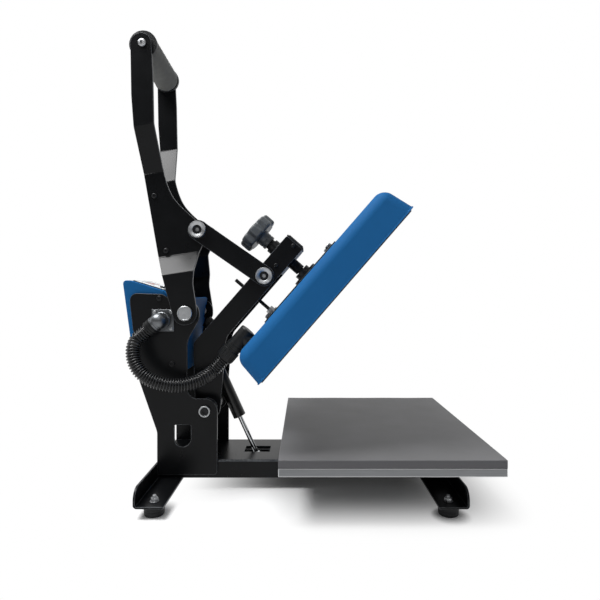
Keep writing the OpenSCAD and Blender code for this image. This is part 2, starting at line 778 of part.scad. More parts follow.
module conduit_hose() {
    skin = [for (k = [0:rings - 1]) each ring(k, hose_d / 2 - (k % 2 == 0 ? rib_h : 0))];
    bore = [for (k = [0:rings - 1]) each ring(k, hose_bore / 2 - 0.5)];
    nb = rings * sides;
    last = (rings - 1) * sides;
    color("#2b2c2f") polyhedron(
        points = concat(skin, bore),
        faces = concat(
            [for (k = [0:rings - 2]) for (j = [0:sides - 1]) for (h = [0, 1]) let(
                a = k * sides + j,
                b = k * sides + (j + 1) % sides
            ) h == 0 ? [a, b, a + sides] : [b, b + sides, a + sides]],
            [for (k = [0:rings - 2]) for (j = [0:sides - 1]) for (h = [0, 1]) let(
                a = nb + k * sides + j,
                b = nb + k * sides + (j + 1) % sides
            ) h == 0 ? [a, a + sides, b] : [b, a + sides, b + sides]],
            [for (j = [0:sides - 1]) for (h = [0, 1]) let(i = (j + 1) % sides)
                h == 0 ? [j, nb + j, i] : [i, nb + j, nb + i]],
            [for (j = [0:sides - 1]) for (h = [0, 1]) let(i = (j + 1) % sides)
                h == 0 ? [last + j, last + i, nb + last + j] : [last + i, nb + last + i, nb + last + j]]
        )
    );
}

// Gas spring

spring_pin_r = 5;
eye_w = 14;
eye_r = 10;
ear_t = 5;
module spring_bracket() {
    flat = base_top - base_t;
    color(BLACK) {
        difference() {
            translate([Q.x - slot_l / 2 - 14, -slot_w / 2 - 12, flat - 4])
                cube([slot_l + 28, slot_w + 24, 4]);
            translate([Q.x - slot_l / 2, -eye_w / 2 - gap, flat - 5]) cube([slot_l, eye_w + 2 * gap, 6]);
        }
        both() across(eye_w / 2 + gap, eye_w / 2 + gap + ear_t) polygon(rounded([
            [Q.x - 22, flat - 3, 0],
            [Q.x - 13, Q.y - 13, 12],
            [Q.x + 13, Q.y - 13, 12],
            [Q.x + 22, flat - 3, 0]
        ]));
        round_across(Q, spring_pin_r, -eye_w / 2 - gap - ear_t - 3, eye_w / 2 + gap + ear_t + 3);
    }
}
gas_bore = gas_d / 2 - 2.5;
gas_eye_r = 12;
rod_clear = 1.6;
gland_t = 14;
rod_in = 30;
module gas_rod() {
    color(SILVER) spring_pose() difference() {
        union() {
            rotate([90, 0, 0]) cylinder(r = eye_r, h = eye_w, center = true);
            cylinder(r = rod_d / 2, h = spring_l - gas_l + rod_in);
            translate([0, 0, spring_l - gas_l + rod_in - 8]) cylinder(r = gas_bore - rod_clear, h = 8);
        }
        rotate([90, 0, 0]) cylinder(r = spring_pin_r + fit, h = eye_w + 2, center = true);
    }
}
module gas_cylinder() {
    color(BLACK) spring_pose() difference() {
        union() {
            translate([0, 0, spring_l - gas_l]) cylinder(r = gas_d / 2, h = gas_l - 16);
            translate([0, 0, spring_l - 17]) cylinder(r = rod_d / 2 + 1, h = 12);
            translate([0, 0, spring_l]) rotate([90, 0, 0]) cylinder(r = gas_eye_r, h = eye_w, center = true);
        }
        translate([0, 0, spring_l - gas_l + gland_t]) cylinder(r = gas_bore, h = gas_l - gland_t - 20);
        translate([0, 0, spring_l - gas_l - 1]) cylinder(r = rod_d / 2 + rod_clear, h = gland_t + 2);
        translate([0, 0, spring_l]) rotate([90, 0, 0])
            cylinder(r = spring_pin_r + fit, h = eye_w + 2, center = true);
    }
}

// Hand lever, drawn as [forward, along] from its pivot

end_r = 24;
head_r = 21.5;
lever_outline = [
    [-end_r, -end_r, end_r - 0.2],
    [end_r, -end_r, end_r - 0.2],
    [end_r, bend_a - 27, 60],
    [nose_t - 6, bend_b - 2, 20],
    [nose_t + 0.7 * nose_r, nose_s - 0.65 * nose_r, 0],
    [nose_t, nose_s + 0.9 * nose_r, 0],
    [18.4, nose_s + 54, 160],
    [1, nose_s + 80, 95],
    [-6, bend_c - 28, 150],
    [-9.3, bend_c, 100],
    [-2, bend_d, 200],
    [12, grip_s - 66, 200],
    [head_r, grip_s + head_r, head_r - 0.2],
    [-head_r, grip_s + head_r, head_r - 0.2],
    [-39, grip_s - 103, 200],
    [-51.6, bend_c, 200],
    [-48.6, bend_b, 40],
    [-36, bend_a, 30],
    [-33, bend_a - 33, 40]
];
// Sheet seen from the front as [y, along], bent inward above the pivot and outward below the grip
low_shift = plate_t * tan(atan2(low_y - mid_y, bend_b - bend_a) / 2);
top_shift = plate_t * tan(atan2(grip_y - mid_y, bend_d - bend_c) / 2);
lever_sheet = [
    [low_y, -end_r - 1], [low_y, bend_a], [mid_y, bend_b],
    [mid_y, bend_c], [grip_y, bend_d], [grip_y, grip_s + head_r + 1],
    [grip_y - plate_t, grip_s + head_r + 1], [grip_y - plate_t, bend_d + top_shift],
    [mid_y - plate_t, bend_c + top_shift], [mid_y - plate_t, bend_b - low_shift],
    [low_in, bend_a - low_shift], [low_in, -end_r - 1]
];
nose = [nose_t, nose_s];
ties = [[-29.5, bend_b + 11], [-36, bend_c - 50]];
tie_screw_r = 3.5;
grip_bolt_r = 5;
module handle_plate() {
    handle_pose() difference() {
        intersection() {
            across(0, grip_y + low_y) {
                polygon(rounded(lever_outline));
                translate(nose) circle(r = nose_r);
            }
            along(-100, 100) polygon(lever_sheet);
        }
        round_across([0, 0], hinge_r + fit, low_in - 1, low_y + 1);
        round_across(nose, pin_r + fit, 0, mid_y + 1);
        for (p = ties) round_across(p, tie_screw_r + fit, 0, mid_y + 1);
        round_across([0, grip_s], grip_bolt_r + fit, grip_y - plate_t - 1, grip_y + 1);
    }
}
module handle_plate_far() { color(BLACK) handle_plate(); }
module handle_plate_near() { color(BLACK) near() handle_plate(); }
grip_in = grip_y - plate_t;
ring_w = 8;
module handle_grip() {
    color("#3a3b3e") handle_pose() difference() {
        round_across([0, grip_s], grip_d / 2, ring_w - grip_in, grip_in - ring_w);
        round_across([0, grip_s], core_d / 2 + fit, -grip_in, grip_in);
    }
}
// Tube with an end ring against each plate
module grip_core() {
    color(BLACK) handle_pose() difference() {
        union() {
            round_across([0, grip_s], core_d / 2, -grip_in, grip_in);
            both() round_across([0, grip_s], grip_d / 2 + 1, grip_in - ring_w, grip_in);
        }
        both() round_across([0, grip_s], grip_bolt_r + fit, grip_in - 30, grip_in + 1);
    }
}
// Screws in the grip's ends and in the tie rods
module handle_screws() {
    color(SILVER) handle_pose() both() {
        round_across([0, grip_s], grip_bolt_r, grip_in - 29, grip_y + 1);
        round_across([0, grip_s], 1.7 * grip_bolt_r, grip_y, grip_y + 4);
        for (p = ties) {
            round_across(p, tie_screw_r, mid_y - plate_t - 15, mid_y + 1);
            round_across(p, 1.8 * tie_screw_r, mid_y, mid_y + 3.5);
        }
    }
}
module tie_rods() {
    color(BLACK) handle_pose() for (p = ties) difference() {
        round_across(p, tie_d / 2, plate_t - mid_y, mid_y - plate_t);
        both() round_across(p, tie_screw_r + fit, mid_y - plate_t - 16, mid_y);
    }
}
module toggle_tube() {
    color(BLACK) handle_pose() difference() {
        round_across(nose, tube_d / 2, plate_t - mid_y, mid_y - plate_t);
        both() round_across(nose, pin_r + fit, mid_y - plate_t - 21, mid_y);
    }
}
// Socket head, outside the link
head_d = 36.5;
head_h = 10;
socket_af = 17;
module pin_bolt(y0) {
    difference() {
        union() {
            round_across([0, 0], pin_r, y0, head_in + 1);
            round_across([0, 0], head_d / 2, head_in, head_in + head_h);
        }
        translate([0, head_in + 4, 0]) rotate([-90, 0, 0]) hexagon(socket_af, head_h);
    }
}
module toggle_bolts() {
    color(SILVER) handle_pose() both() translate([nose_t, 0, nose_s]) pin_bolt(mid_y - plate_t - 20);
}

// Links, from the toggle pin to the arm. The lower bolts stop short of the arm's pin.
module link_bar() {
    link_pose() difference() {
        across(link_in, link_out) {
            translate([0, -link_w / 2]) square([link_l, link_w]);
            circle(r = link_w / 2);
            translate([link_l, 0]) circle(r = link_w / 2);
        }
        for (x = [0, link_l]) round_across([x, 0], pin_r + fit, link_in - 1, link_out + 1);
    }
}
module link_far() { color(BLACK) link_bar(); }
module link_near() { color(BLACK) near() link_bar(); }
module link_bolts() {
    color(SILVER) link_pose() both() translate([link_l, 0, 0]) {
        pin_bolt(link_in);
        round_across([0, 0], pin_r + 4, link_out, head_in + 1);
    }
}

// Arm, drawn closed as [forward, up] from its pivot

leg_r = 26;
leg_a = 38.7;
leg = [cos(leg_a), sin(leg_a)];
leg_n = [-leg.y, leg.x];
arm_side = [
    [leg_r * (leg_n - leg).x, leg_r * (leg_n - leg).y, leg_r - 0.2],
    [-leg_r * (leg_n + leg).x, -leg_r * (leg_n + leg).y, leg_r - 0.2],
    [beam_u0 + 56, beam_w0, 40],
    [beam_u1, beam_w0, 3],
    [beam_u1, beam_top, 4],
    [beam_u0, beam_top, 14]
];
arm_pin = [pin_u, pin_w];
block_l = 70;
block_screw = 28;
block_screw_r = 4;
block_w = (beam_w0 + beam_top - arm_t) / 2;
sleeve_r = 20;
module press_arm() {
    color(BLACK) arm_pose() {
        difference() {
            union() {
                both() across(arm_in, arm_w / 2) polygon(rounded(arm_side));
                translate([beam_u0 + 14, -arm_w / 2, beam_top - arm_t])
                    cube([beam_u1 - beam_u0 - 18, arm_w, arm_t]);
                round_across([0, 0], sleeve_r, gap - side, side - gap);
            }
            round_across([0, 0], shaft_r + fit, -side, side);
            round_across(arm_pin, pin_r + fit, -arm_w, arm_w);
            for (x = [-1, 1])
                round_across([spindle_u + x * block_screw, block_w], block_screw_r + fit, -arm_w, arm_w);
            translate([spindle_u, 0, beam_top - arm_t - 1]) cylinder(r = spindle_d / 2 + 1, h = arm_t + 2);
            translate([guide_u, 0, beam_top - arm_t - 1]) cylinder(r = guide_d / 2 + gap, h = arm_t + 2);
        }
        round_across([spring_u, spring_w], spring_pin_r, -arm_in - 1, arm_in + 1);
    }
}
// Ribbed plastic cap over the open end of the beam
module arm_end_cap() {
    color(RUBBER) arm_pose() {
        translate([beam_u1, -arm_w / 2, beam_w0]) cube([cap_t * 0.6, arm_w, beam_h]);
        for (k = [0:6]) translate([beam_u1 + cap_t * 0.5, (k - 3) * arm_w / 7.6 - 3, beam_w0 + 3])
            cube([cap_t * 0.5, 6, beam_h - 6]);
    }
}
module nut_block() {
    color(GREY) arm_pose() difference() {
        translate([spindle_u - block_l / 2, -arm_in, beam_w0]) cube([block_l, 2 * arm_in, beam_h - arm_t]);
        translate([spindle_u, 0, beam_w0 - 1]) cylinder(r = spindle_d / 2 + 2 * fit, h = beam_h + 2);
        both() for (x = [-1, 1])
            round_across(
                [spindle_u + x * block_screw, block_w], block_screw_r + fit, arm_in - 16, arm_in + 1
            );
    }
}
module nut_block_screws() {
    color(SILVER) arm_pose() both() for (x = [-1, 1]) {
        p = [spindle_u + x * block_screw, block_w];
        round_across(p, block_screw_r, arm_in - 15, arm_w / 2 + 1);
        round_across(p, 1.75 * block_screw_r, arm_w / 2, arm_w / 2 + 3.5);
    }
}
module guide_nut() {
    color(SILVER) arm_pose() translate([spindle_u, 0, beam_top]) difference() {
        union() {
            cylinder(r = spindle_d / 2 + 8.5, h = 4);
            cylinder(r = spindle_d / 2 + 4, h = 15);
        }
        translate([0, 0, -1]) cylinder(r = spindle_d / 2 + 2 * fit, h = 17);
    }
}
// Cross pin of the links, with a boss on each side of the arm
module link_pin() {
    color(SILVER) arm_pose() {
        round_across(arm_pin, pin_r, -mid_y, mid_y);
        both() round_across(arm_pin, 2 * pin_r, arm_w / 2, mid_y);
    }
}
// Lies below the toggle tube when the press is closed
magnet_u = (O + crank * unit(B_closed - O) - P).x;
module hold_magnet() {
    color(RUBBER) arm_pose() translate([magnet_u, 0, beam_top]) {
        cylinder(r = magnet_r, h = magnet_h);
        cylinder(r = magnet_r + 4, h = 3);
    }
}

// Upper platen, drawn closed below the arm

heat_corner = cover_corner - cover_margin;
module heat_platen() {
    color(SILVER) arm_pose() difference() {
        translate([spindle_u, 0, face_w]) linear_extrude(heat_t) polygon(rounded([
            [-platen_l / 2, -platen_w / 2, heat_corner],
            [platen_l / 2, -platen_w / 2, heat_corner],
            [platen_l / 2, platen_w / 2, heat_corner],
            [-platen_l / 2, platen_w / 2, heat_corner]
        ], 8));
        for (p = posts) translate([p.x, p.y, heat_top - 5]) cylinder(r = bolt_r + fit, h = 6);
    }
}
// Serpentine heater tube on the platen
runs = 4;
run_pitch = platen_l / 4;
run_y = platen_w / 2 - run_pitch / 2 - 20;
module heating_element() {
    color("#5a4a40") arm_pose() translate([spindle_u, 0, heat_top + element_r + fit]) {
        for (k = [0:runs - 1]) translate([(k - 1.5) * run_pitch, 0, 0]) rotate([90, 0, 0])
            cylinder(r = element_r, h = 2 * run_y, center = true);
        for (k = [0:runs - 2]) translate([(k - 1) * run_pitch, (k % 2 == 0 ? 1 : -1) * run_y, 0])
            rotate([0, 0, k % 2 == 0 ? 0 : 180]) rotate_extrude(angle = 180)
                translate([run_pitch / 2, 0]) circle(r = element_r);
    }
}
// Rounded box with drafted walls; d moves every wall inward
module cover_form(d) {
    l = platen_l / 2 + cover_margin;
    w = platen_w / 2 + cover_margin;
    edge = cover_round - d;
    inset = cover_draft + cover_round;
    hull() {
        for (x = [-1, 1]) for (y = [-1, 1]) {
            translate([x * (l - cover_corner), y * (w - cover_corner), cover_w0 - (d > 0 ? 1 : 0)])
                cylinder(r = cover_corner - d, h = 0.5, $fn = 48);
            translate([x * (l - inset), y * (w - inset), cover_top - cover_round])
                rotate_extrude($fn = 40) intersection() {
                    circle(r = edge, $fn = 40);
                    square(edge + 1);
                }
        }
    }
}
module platen_cover() {
    color(BLUE) arm_pose() difference() {
        union() {
            translate([spindle_u, 0, 0]) cover_form(0);
            translate([elbow_u, -elbow_y, cover_top - 20]) cylinder(r = elbow_r, h = 20, $fn = 32);
        }
        translate([spindle_u, 0, 0]) cover_form(cover_wall);
        for (p = posts) translate([p.x, p.y, cover_top - 10]) cylinder(r = post_r + gap, h = 20, $fn = 32);
        translate([elbow_u, -elbow_y, cover_top - 30]) cylinder(r = stub_r + fit, h = 40, $fn = 32);
    }
}
post_r = 8;
module mount_posts() {
    color(GREY) arm_pose() for (p = posts) translate([p.x, p.y, 0]) difference() {
        union() {
            translate([0, 0, heat_top]) cylinder(r = post_r, h = cover_top - heat_top);
            translate([0, 0, heat_top - 4]) cylinder(r = bolt_r, h = 5);
        }
        translate([0, 0, cover_top - 16]) cylinder(r = bolt_r + fit, h = 17);
    }
}
mount_back = 136;
mount_fore = 94;
module mount_plate() {
    color(BLACK) arm_pose() difference() {
        translate([spindle_u - mount_back, -mount_w / 2, cover_top])
            cube([mount_back + mount_fore, mount_w, mount_t]);
        for (p = posts) translate([p.x, p.y, cover_top - 1]) cylinder(r = bolt_r + fit, h = mount_t + 2);
    }
}
module mount_bolts() {
    color(SILVER) arm_pose() for (p = posts) translate([p.x, p.y, mount_top]) {
        hexagon(13, 6);
        translate([0, 0, -mount_t - 15]) cylinder(r = bolt_r, h = mount_t + 16);
    }
}
module spindle_socket() {
    color(SILVER) arm_pose() translate([spindle_u, 0, mount_top]) difference() {
        union() {
            cylinder(r = 31, h = 5);
            cylinder(r = spindle_d / 2 + 6, h = socket_h);
        }
        translate([0, 0, 3]) cylinder(r = journal_d / 2 + fit, h = socket_h);
    }
}
module guide_rod() {
    color(SILVER) arm_pose() translate([guide_u, 0, mount_top]) {
        cylinder(r = guide_d / 2, h = beam_top + guide_over - mount_top);
        cylinder(r = 14, h = 4);
        hexagon(2 * guide_d, 13);
    }
}
elbow_r = 17;
stub_r = 11;
// Rises from the cover, turns to the rear and ends in a clamp nut on the hose
module hose_elbow() {
    color(RUBBER) arm_pose() translate([elbow_u, -elbow_y, cover_top]) difference() {
        union() {
            translate([0, 0, -cover_wall - 6]) cylinder(r = stub_r, h = cover_wall + 7);
            cylinder(r = elbow_r - 1, h = elbow_rise);
            translate([0, 0, elbow_rise]) sphere(r = elbow_r + 1);
            translate([0, 0, elbow_rise]) rotate([0, -90, 0]) cylinder(r = elbow_r, h = elbow_u - nut_u + 1);
            translate([nut_u - elbow_u, 0, elbow_rise]) rotate([0, -90, 0])
                cylinder(r = elbow_r + 2, h = nut_l, $fn = 12);
        }
        translate([nut_u - elbow_u - nut_l - 1, 0, elbow_rise]) rotate([0, 90, 0])
            cylinder(r = hose_bore / 2 - 0.5, h = 21);
    }
}

// Pressure screw

knob_hub = knob_rise - 22;
spindle_top = knob_w0 + knob_h - 8;
module spindle() {
    color(SILVER) arm_pose() translate([spindle_u, 0, 0]) {
        translate([0, 0, mount_top + 3 + gap]) cylinder(r = journal_d / 2, h = socket_h);
        translate([0, 0, mount_top + socket_h + gap])
            cylinder(r = spindle_d / 2, h = spindle_top - mount_top - socket_h - gap);
    }
}
module pressure_knob() {
    color(RUBBER) arm_pose() translate([spindle_u, 0, knob_w0]) difference() {
        union() {
            cylinder(r = knob_d / 2, h = knob_h);
            translate([0, 0, -knob_hub]) cylinder(r = spindle_d / 2 + 4, h = knob_hub + 1);
        }
        for (k = [0:knob_lobes - 1]) rotate([0, 0, (k + 0.5) * 360 / knob_lobes])
            translate([knob_d / 2 + 4, 0, -1]) cylinder(r = 10, h = knob_h + 2);
        translate([0, 0, -knob_hub - 1]) cylinder(r = spindle_d / 2 + fit, h = knob_hub + 1 + knob_h - 8);
    }
}

base_channel();
rear_crossbar();
front_crossbar();
rubber_feet();
foot_bolts();
column_plate_near();
column_plate_far();
column_tie();
column_screws();
handle_pivot_bolts();
arm_pivot_shaft();
platen_rails();
lower_platen();
silicone_pad();
platen_bolts();
control_housing();
control_panel();
display_window();
control_board();
switch_bezel();
cord_gland();
connector_flange();
connector_plug();
conduit_hose();
spring_bracket();
handle_plate_near();
handle_plate_far();
handle_grip();
grip_core();
handle_screws();
tie_rods();
toggle_tube();
toggle_bolts();
link_near();
link_far();
link_bolts();
press_arm();
arm_end_cap();
nut_block();
nut_block_screws();
guide_nut();
link_pin();
hold_magnet();
heat_platen();
heating_element();
platen_cover();
mount_plate();
mount_posts();
mount_bolts();
spindle_socket();
guide_rod();
hose_elbow();
spindle();
pressure_knob();
gas_cylinder();
gas_rod();
button_up();
button_down();
button_set();
power_rocker();
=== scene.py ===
import json
from itertools import groupby
from math import atan2, cos, pi, radians, sin

import bmesh
import bpy
from mathutils import Matrix, Vector

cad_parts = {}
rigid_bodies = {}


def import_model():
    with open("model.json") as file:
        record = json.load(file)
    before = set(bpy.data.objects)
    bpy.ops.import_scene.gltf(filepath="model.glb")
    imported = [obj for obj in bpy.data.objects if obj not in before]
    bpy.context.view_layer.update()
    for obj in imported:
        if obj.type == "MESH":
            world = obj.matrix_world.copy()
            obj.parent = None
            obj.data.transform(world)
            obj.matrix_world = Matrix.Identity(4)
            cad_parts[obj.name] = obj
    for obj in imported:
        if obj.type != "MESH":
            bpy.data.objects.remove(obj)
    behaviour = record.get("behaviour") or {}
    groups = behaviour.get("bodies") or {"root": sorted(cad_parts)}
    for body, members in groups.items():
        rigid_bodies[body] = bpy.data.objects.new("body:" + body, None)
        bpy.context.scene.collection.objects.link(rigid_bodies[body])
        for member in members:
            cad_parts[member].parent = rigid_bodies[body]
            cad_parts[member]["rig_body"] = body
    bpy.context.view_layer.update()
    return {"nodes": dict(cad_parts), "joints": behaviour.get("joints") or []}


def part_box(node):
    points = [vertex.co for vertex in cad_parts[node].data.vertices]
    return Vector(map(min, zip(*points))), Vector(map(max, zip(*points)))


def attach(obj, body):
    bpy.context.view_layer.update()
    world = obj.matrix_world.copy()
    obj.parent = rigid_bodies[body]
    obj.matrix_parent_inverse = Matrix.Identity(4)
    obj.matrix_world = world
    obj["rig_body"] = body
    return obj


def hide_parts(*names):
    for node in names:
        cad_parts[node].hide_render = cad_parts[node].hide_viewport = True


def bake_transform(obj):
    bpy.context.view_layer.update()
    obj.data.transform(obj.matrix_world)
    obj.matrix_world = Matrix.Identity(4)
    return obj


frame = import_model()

nodes = frame["nodes"]

# Base: the channel that carries everything, and the two crossbars under its ends.
# Folded from steel sheet, welded into an H and powder coated satin black. The cut edges and folds are
# painted paler in patches: a painted highlight, with some chipped wear.
MM = 0.001
CREASE = 40


def linear(code):
    """An sRGB hex colour as the linear RGBA that a colour socket takes."""
    parts = [int(code[i:i + 2], 16) / 255 for i in (1, 3, 5)]
    return (*[p / 12.92 if p <= 0.04045 else ((p + 0.055) / 1.055) ** 2.4 for p in parts], 1)


# A Mix node's colour sockets have the same names as its number sockets, so they go by their places
SHARE, LOW, HIGH = 0, 6, 7


def add(tree, kind, sockets={}, **settings):
    """Adds a node with its settings. Each socket takes a value, a hex colour, or the output that feeds it;
    a node there means the first of its outputs that is in use."""
    node = tree.nodes.new(kind)
    for name, value in settings.items():
        setattr(node, name, value)
    for key, value in sockets.items():
        if isinstance(value, bpy.types.Node):
            value = next(output for output in value.outputs if output.enabled)
        if isinstance(value, bpy.types.NodeSocket):
            tree.links.new(value, node.inputs[key])
        else:
            node.inputs[key].default_value = linear(value) if isinstance(value, str) else value
    return node


def blank(name):
    """An empty material, its node tree and the Object coordinates that its patterns read."""
    material = bpy.data.materials.new(name)
    material.use_nodes = True
    material.node_tree.nodes.clear()
    return material, material.node_tree, add(material.node_tree, "ShaderNodeTexCoord").outputs["Object"]


def surfaced(tree, sockets):
    """Ends a material with the surface that its patterns feed."""
    skin = add(tree, "ShaderNodeBsdfPrincipled", sockets)
    add(tree, "ShaderNodeOutputMaterial", {"Surface": skin})


def fitted(name, bm, finishes, body, slot, *replaced, crease=CREASE):
    """Makes a finished piece of a mesh and fixes it to its body."""
    mesh = bpy.data.meshes.new(name)
    bm.to_mesh(mesh)
    bm.free()
    for finish in finishes:
        mesh.materials.append(finish)
    mesh.shade_smooth()
    mesh.set_sharp_from_angle(angle=radians(crease))
    piece = bpy.data.objects.new(name, mesh)
    bpy.context.scene.collection.objects.link(piece)
    even = piece.modifiers.new("flat faces shade flat", "WEIGHTED_NORMAL")
    even.keep_sharp = True
    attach(piece, body)
    if replaced:
        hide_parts(*replaced)
    return piece


def long_folds(count, rank):
    """Picks the long edges that rank highest by their middle point, to be rounded as folds."""
    def chosen(bm):
        edges = [e for e in bm.edges if e.calc_length() > 100 * MM]
        return sorted(edges, key=lambda e: rank((e.verts[0].co + e.verts[1].co) / 2), reverse=True)[:count]
    return chosen


def rounded(bm, edges, offset, segments):
    """Rounds edges by an offset in millimetres, and gives the new faces."""
    return bmesh.ops.bevel(bm, geom=edges, offset=offset * MM, offset_type="OFFSET", affect="EDGES",
                           segments=segments, profile=0.5, material=-1)["faces"]


def eased(node, ease, finish, slot, bend=0, folds=None, shine=0):
    """A merged copy of a solid with its cut edges eased and its folds rounded, in millimetres.
    A face layer is 1 on the eased edges and as given by shine on the folds; materials paint these faces
    paler, as a painted highlight."""
    bm = bmesh.new()
    bm.from_mesh(nodes[node].data)
    highlight_layer = bm.faces.layers.float.new("painted_edge_highlight")
    bmesh.ops.remove_doubles(bm, verts=bm.verts, dist=2e-6)
    bmesh.ops.dissolve_limit(bm, angle_limit=radians(0.5), verts=bm.verts, edges=bm.edges)
    if folds:
        for face in rounded(bm, folds(bm), bend, 5):
            face[highlight_layer] = shine
    cut = [e for e in bm.edges if len(e.link_faces) == 2 and e.calc_face_angle() > radians(CREASE)]
    for face in rounded(bm, cut, ease, 2):
        face[highlight_layer] = 1
    return fitted(node + "_eased", bm, [finish], nodes[node]["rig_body"], slot, node)


# Powder coat: a fine orange peel, satin with faint handling marks; edges and folds are painted paler in
# patches, as a painted highlight with some chipped wear
powder_coat, tree, place = blank("satin black powder coat on steel")
peel = add(tree, "ShaderNodeTexNoise", {"Vector": place, "Scale": 1 / (1.6 * MM), "Detail": 2})
marks = add(tree, "ShaderNodeTexNoise", {"Vector": place, "Scale": 1 / (45 * MM), "Detail": 6})
chips = add(tree, "ShaderNodeTexNoise", {"Vector": place, "Scale": 1 / (7 * MM), "Detail": 3})
edge = add(tree, "ShaderNodeAttribute", attribute_name="painted_edge_highlight")
# Edges and folds are painted paler: a painted highlight, broken into patches by the chips noise as wear
edge_glint = add(tree, "ShaderNodeMath", {0: edge.outputs["Fac"], 1: chips}, operation="MULTIPLY")
tone = add(tree, "ShaderNodeMix", {SHARE: marks, LOW: "#08090a", HIGH: "#121315"}, data_type="RGBA")
colour = add(tree, "ShaderNodeMix", {SHARE: edge_glint, LOW: tone, HIGH: "#5d6064"}, data_type="RGBA")
gloss = add(tree, "ShaderNodeMapRange", {"Value": marks, "To Min": 0.24, "To Max": 0.34})
bump = add(tree, "ShaderNodeBump", {"Height": peel, "Strength": 0.12, "Distance": 0.2 * MM})
surfaced(tree, {"Base Color": colour, "Roughness": gloss, "Normal": bump, "Specular IOR Level": 0.15})

# The channel's folds take the full painted highlight, the crossbars' folds half of it
eased("base_channel", 0.8, powder_coat, "black_paint", bend=4,
      folds=long_folds(2, lambda p: p.z + abs(p.y)), shine=1)
for node in ("rear_crossbar", "front_crossbar"):
    eased(node, 0.9, powder_coat, "black_paint", bend=6,
          folds=long_folds(1, lambda p: abs(p.x) - p.z), shine=0.5)

# Feet: four soft rubber feet, each held up against its crossbar by a stud and nut.
# Moulded in black rubber with a groove, on a zinc-plated stud with a washer and a hexagon nut.
FOOT_X, FOOT_Y = (-266, 284), 186
ROUND, SMALL, HEX = 48, 32, 6


def shift(x, y, z):
    """A move in millimetres."""
    return Matrix.Translation((x * MM, y * MM, z * MM))


def turned(sides, *profile):
    """Rings of one number of sides from a profile of radii and heights."""
    return [(sides, radius, height) for radius, height in profile]


def stacked(bm, rings, at, skin=0, lobes=None):
    """Spins rings, each (sides, radius, height) in millimetres, into closed turned or hexagon shapes.
    Each run of rings with the same number of sides makes one shape."""
    for sides, run in groupby(rings, key=lambda ring: ring[0]):
        run = [(radius, height) for _, radius, height in run]
        run = [(0, run[0][1])] + run + [(0, run[-1][1])]
        shape = bmesh.new()
        profile = [shape.verts.new((radius * MM, 0, height * MM)) for radius, height in run]
        profile += [shape.edges.new(pair) for pair in zip(profile, profile[1:])]
        bmesh.ops.spin(shape, geom=profile, axis=(0, 0, 1), cent=(0, 0, 0), dvec=(0, 0, 0), angle=2 * pi,
                       steps=sides, use_merge=True)
        bmesh.ops.remove_doubles(shape, verts=shape.verts, dist=1e-7)
        bmesh.ops.recalc_face_normals(shape, faces=shape.faces)
        for v in shape.verts if lobes else []:
            v.co.xy *= lobes(atan2(v.co.y, v.co.x))
        for face in shape.faces:
            face.material_index = skin
        bmesh.ops.transform(shape, matrix=at, verts=shape.verts)
        mesh = bpy.data.meshes.new("shape")
        shape.to_mesh(mesh)
        shape.free()
        bm.from_mesh(mesh)
        bpy.data.meshes.remove(mesh)


def thread(radius, low, high, pitch):
    """Rings of a screw thread between two heights: one ridge for each pitch, not a helix."""
    root = radius - 0.16 * pitch
    rings = []
    for k in range(int((high - low) / pitch)):
        at = low + k * pitch
        rings += turned(ROUND, (root, at), (radius, at + 0.4 * pitch), (radius, at + 0.6 * pitch))
    return rings + turned(ROUND, (root, high))


HEX_CORNER = 0.577


def hex_nut(af, low, high):
    """Rings of a hexagon nut or head of a size across flats, with both faces chamfered."""
    return turned(HEX, (0.5 * af, low), (HEX_CORNER * af, low + 0.6), (HEX_CORNER * af, high - 0.9),
                  (0.51 * af, high))


# Rubber: matt, with a faint bloom and the grain of the mould, drawn coarse enough to show
rubber, tree, place = blank("moulded black rubber")
grain = add(tree, "ShaderNodeTexNoise", {"Vector": place, "Scale": 1 / (0.9 * MM), "Detail": 3})
bloom = add(tree, "ShaderNodeTexNoise", {"Vector": place, "Scale": 1 / (18 * MM), "Detail": 5})
tone = add(tree, "ShaderNodeMix", {SHARE: bloom, LOW: "#0e0f10", HIGH: "#1a1b1d"}, data_type="RGBA")
bump = add(tree, "ShaderNodeBump", {"Height": grain, "Strength": 0.2, "Distance": 0.2 * MM})
surfaced(tree, {"Base Color": tone, "Roughness": 0.62, "Normal": bump, "Specular IOR Level": 0.35})

# Bright zinc plate: cool silver, a little cloudy, with fine marks from barrel plating
zinc, tree, place = blank("bright zinc plated steel")
cloud = add(tree, "ShaderNodeTexNoise", {"Vector": place, "Scale": 1 / (6 * MM), "Detail": 5})
nicks = add(tree, "ShaderNodeTexNoise", {"Vector": place, "Scale": 1 / (0.7 * MM), "Detail": 2})
tone = add(tree, "ShaderNodeMix", {SHARE: cloud, LOW: "#9a9c9e", HIGH: "#c4c6c8"}, data_type="RGBA")
gloss = add(tree, "ShaderNodeMapRange", {"Value": cloud, "To Min": 0.3, "To Max": 0.5})
bump = add(tree, "ShaderNodeBump", {"Height": nicks, "Strength": 0.08, "Distance": 0.1 * MM})
surfaced(tree, {"Base Color": tone, "Metallic": 1.0, "Roughness": gloss, "Normal": bump})

feet, studs = bmesh.new(), bmesh.new()
for at in [shift(x, y, 0) for x in FOOT_X for y in (-FOOT_Y, FOOT_Y)]:
    stacked(feet, turned(ROUND, (15.5, 0), (17.6, 0.6), (18.6, 2), (18.9, 8), (18.3, 8.8), (18.3, 10.4),
                         (19.3, 11.2), (19.9, 18.4), (19.2, 20)), at)
    stacked(studs, turned(SMALL, (8.4, 24), (8.6, 24.3), (8.6, 25.2), (8.2, 25.5)), at)
    stacked(studs, hex_nut(13, 25.5, 31.5), at)
    stacked(studs, turned(ROUND, (3.4, 10)) + thread(4, 31, 35.2, 1.25) + turned(ROUND, (3, 36)), at)
fitted("rubber_feet_moulded", feet, [rubber], "frame", "rubber", "rubber_feet")
fitted("foot_studs_and_nuts", studs, [zinc], "frame", "zinc", "foot_bolts")

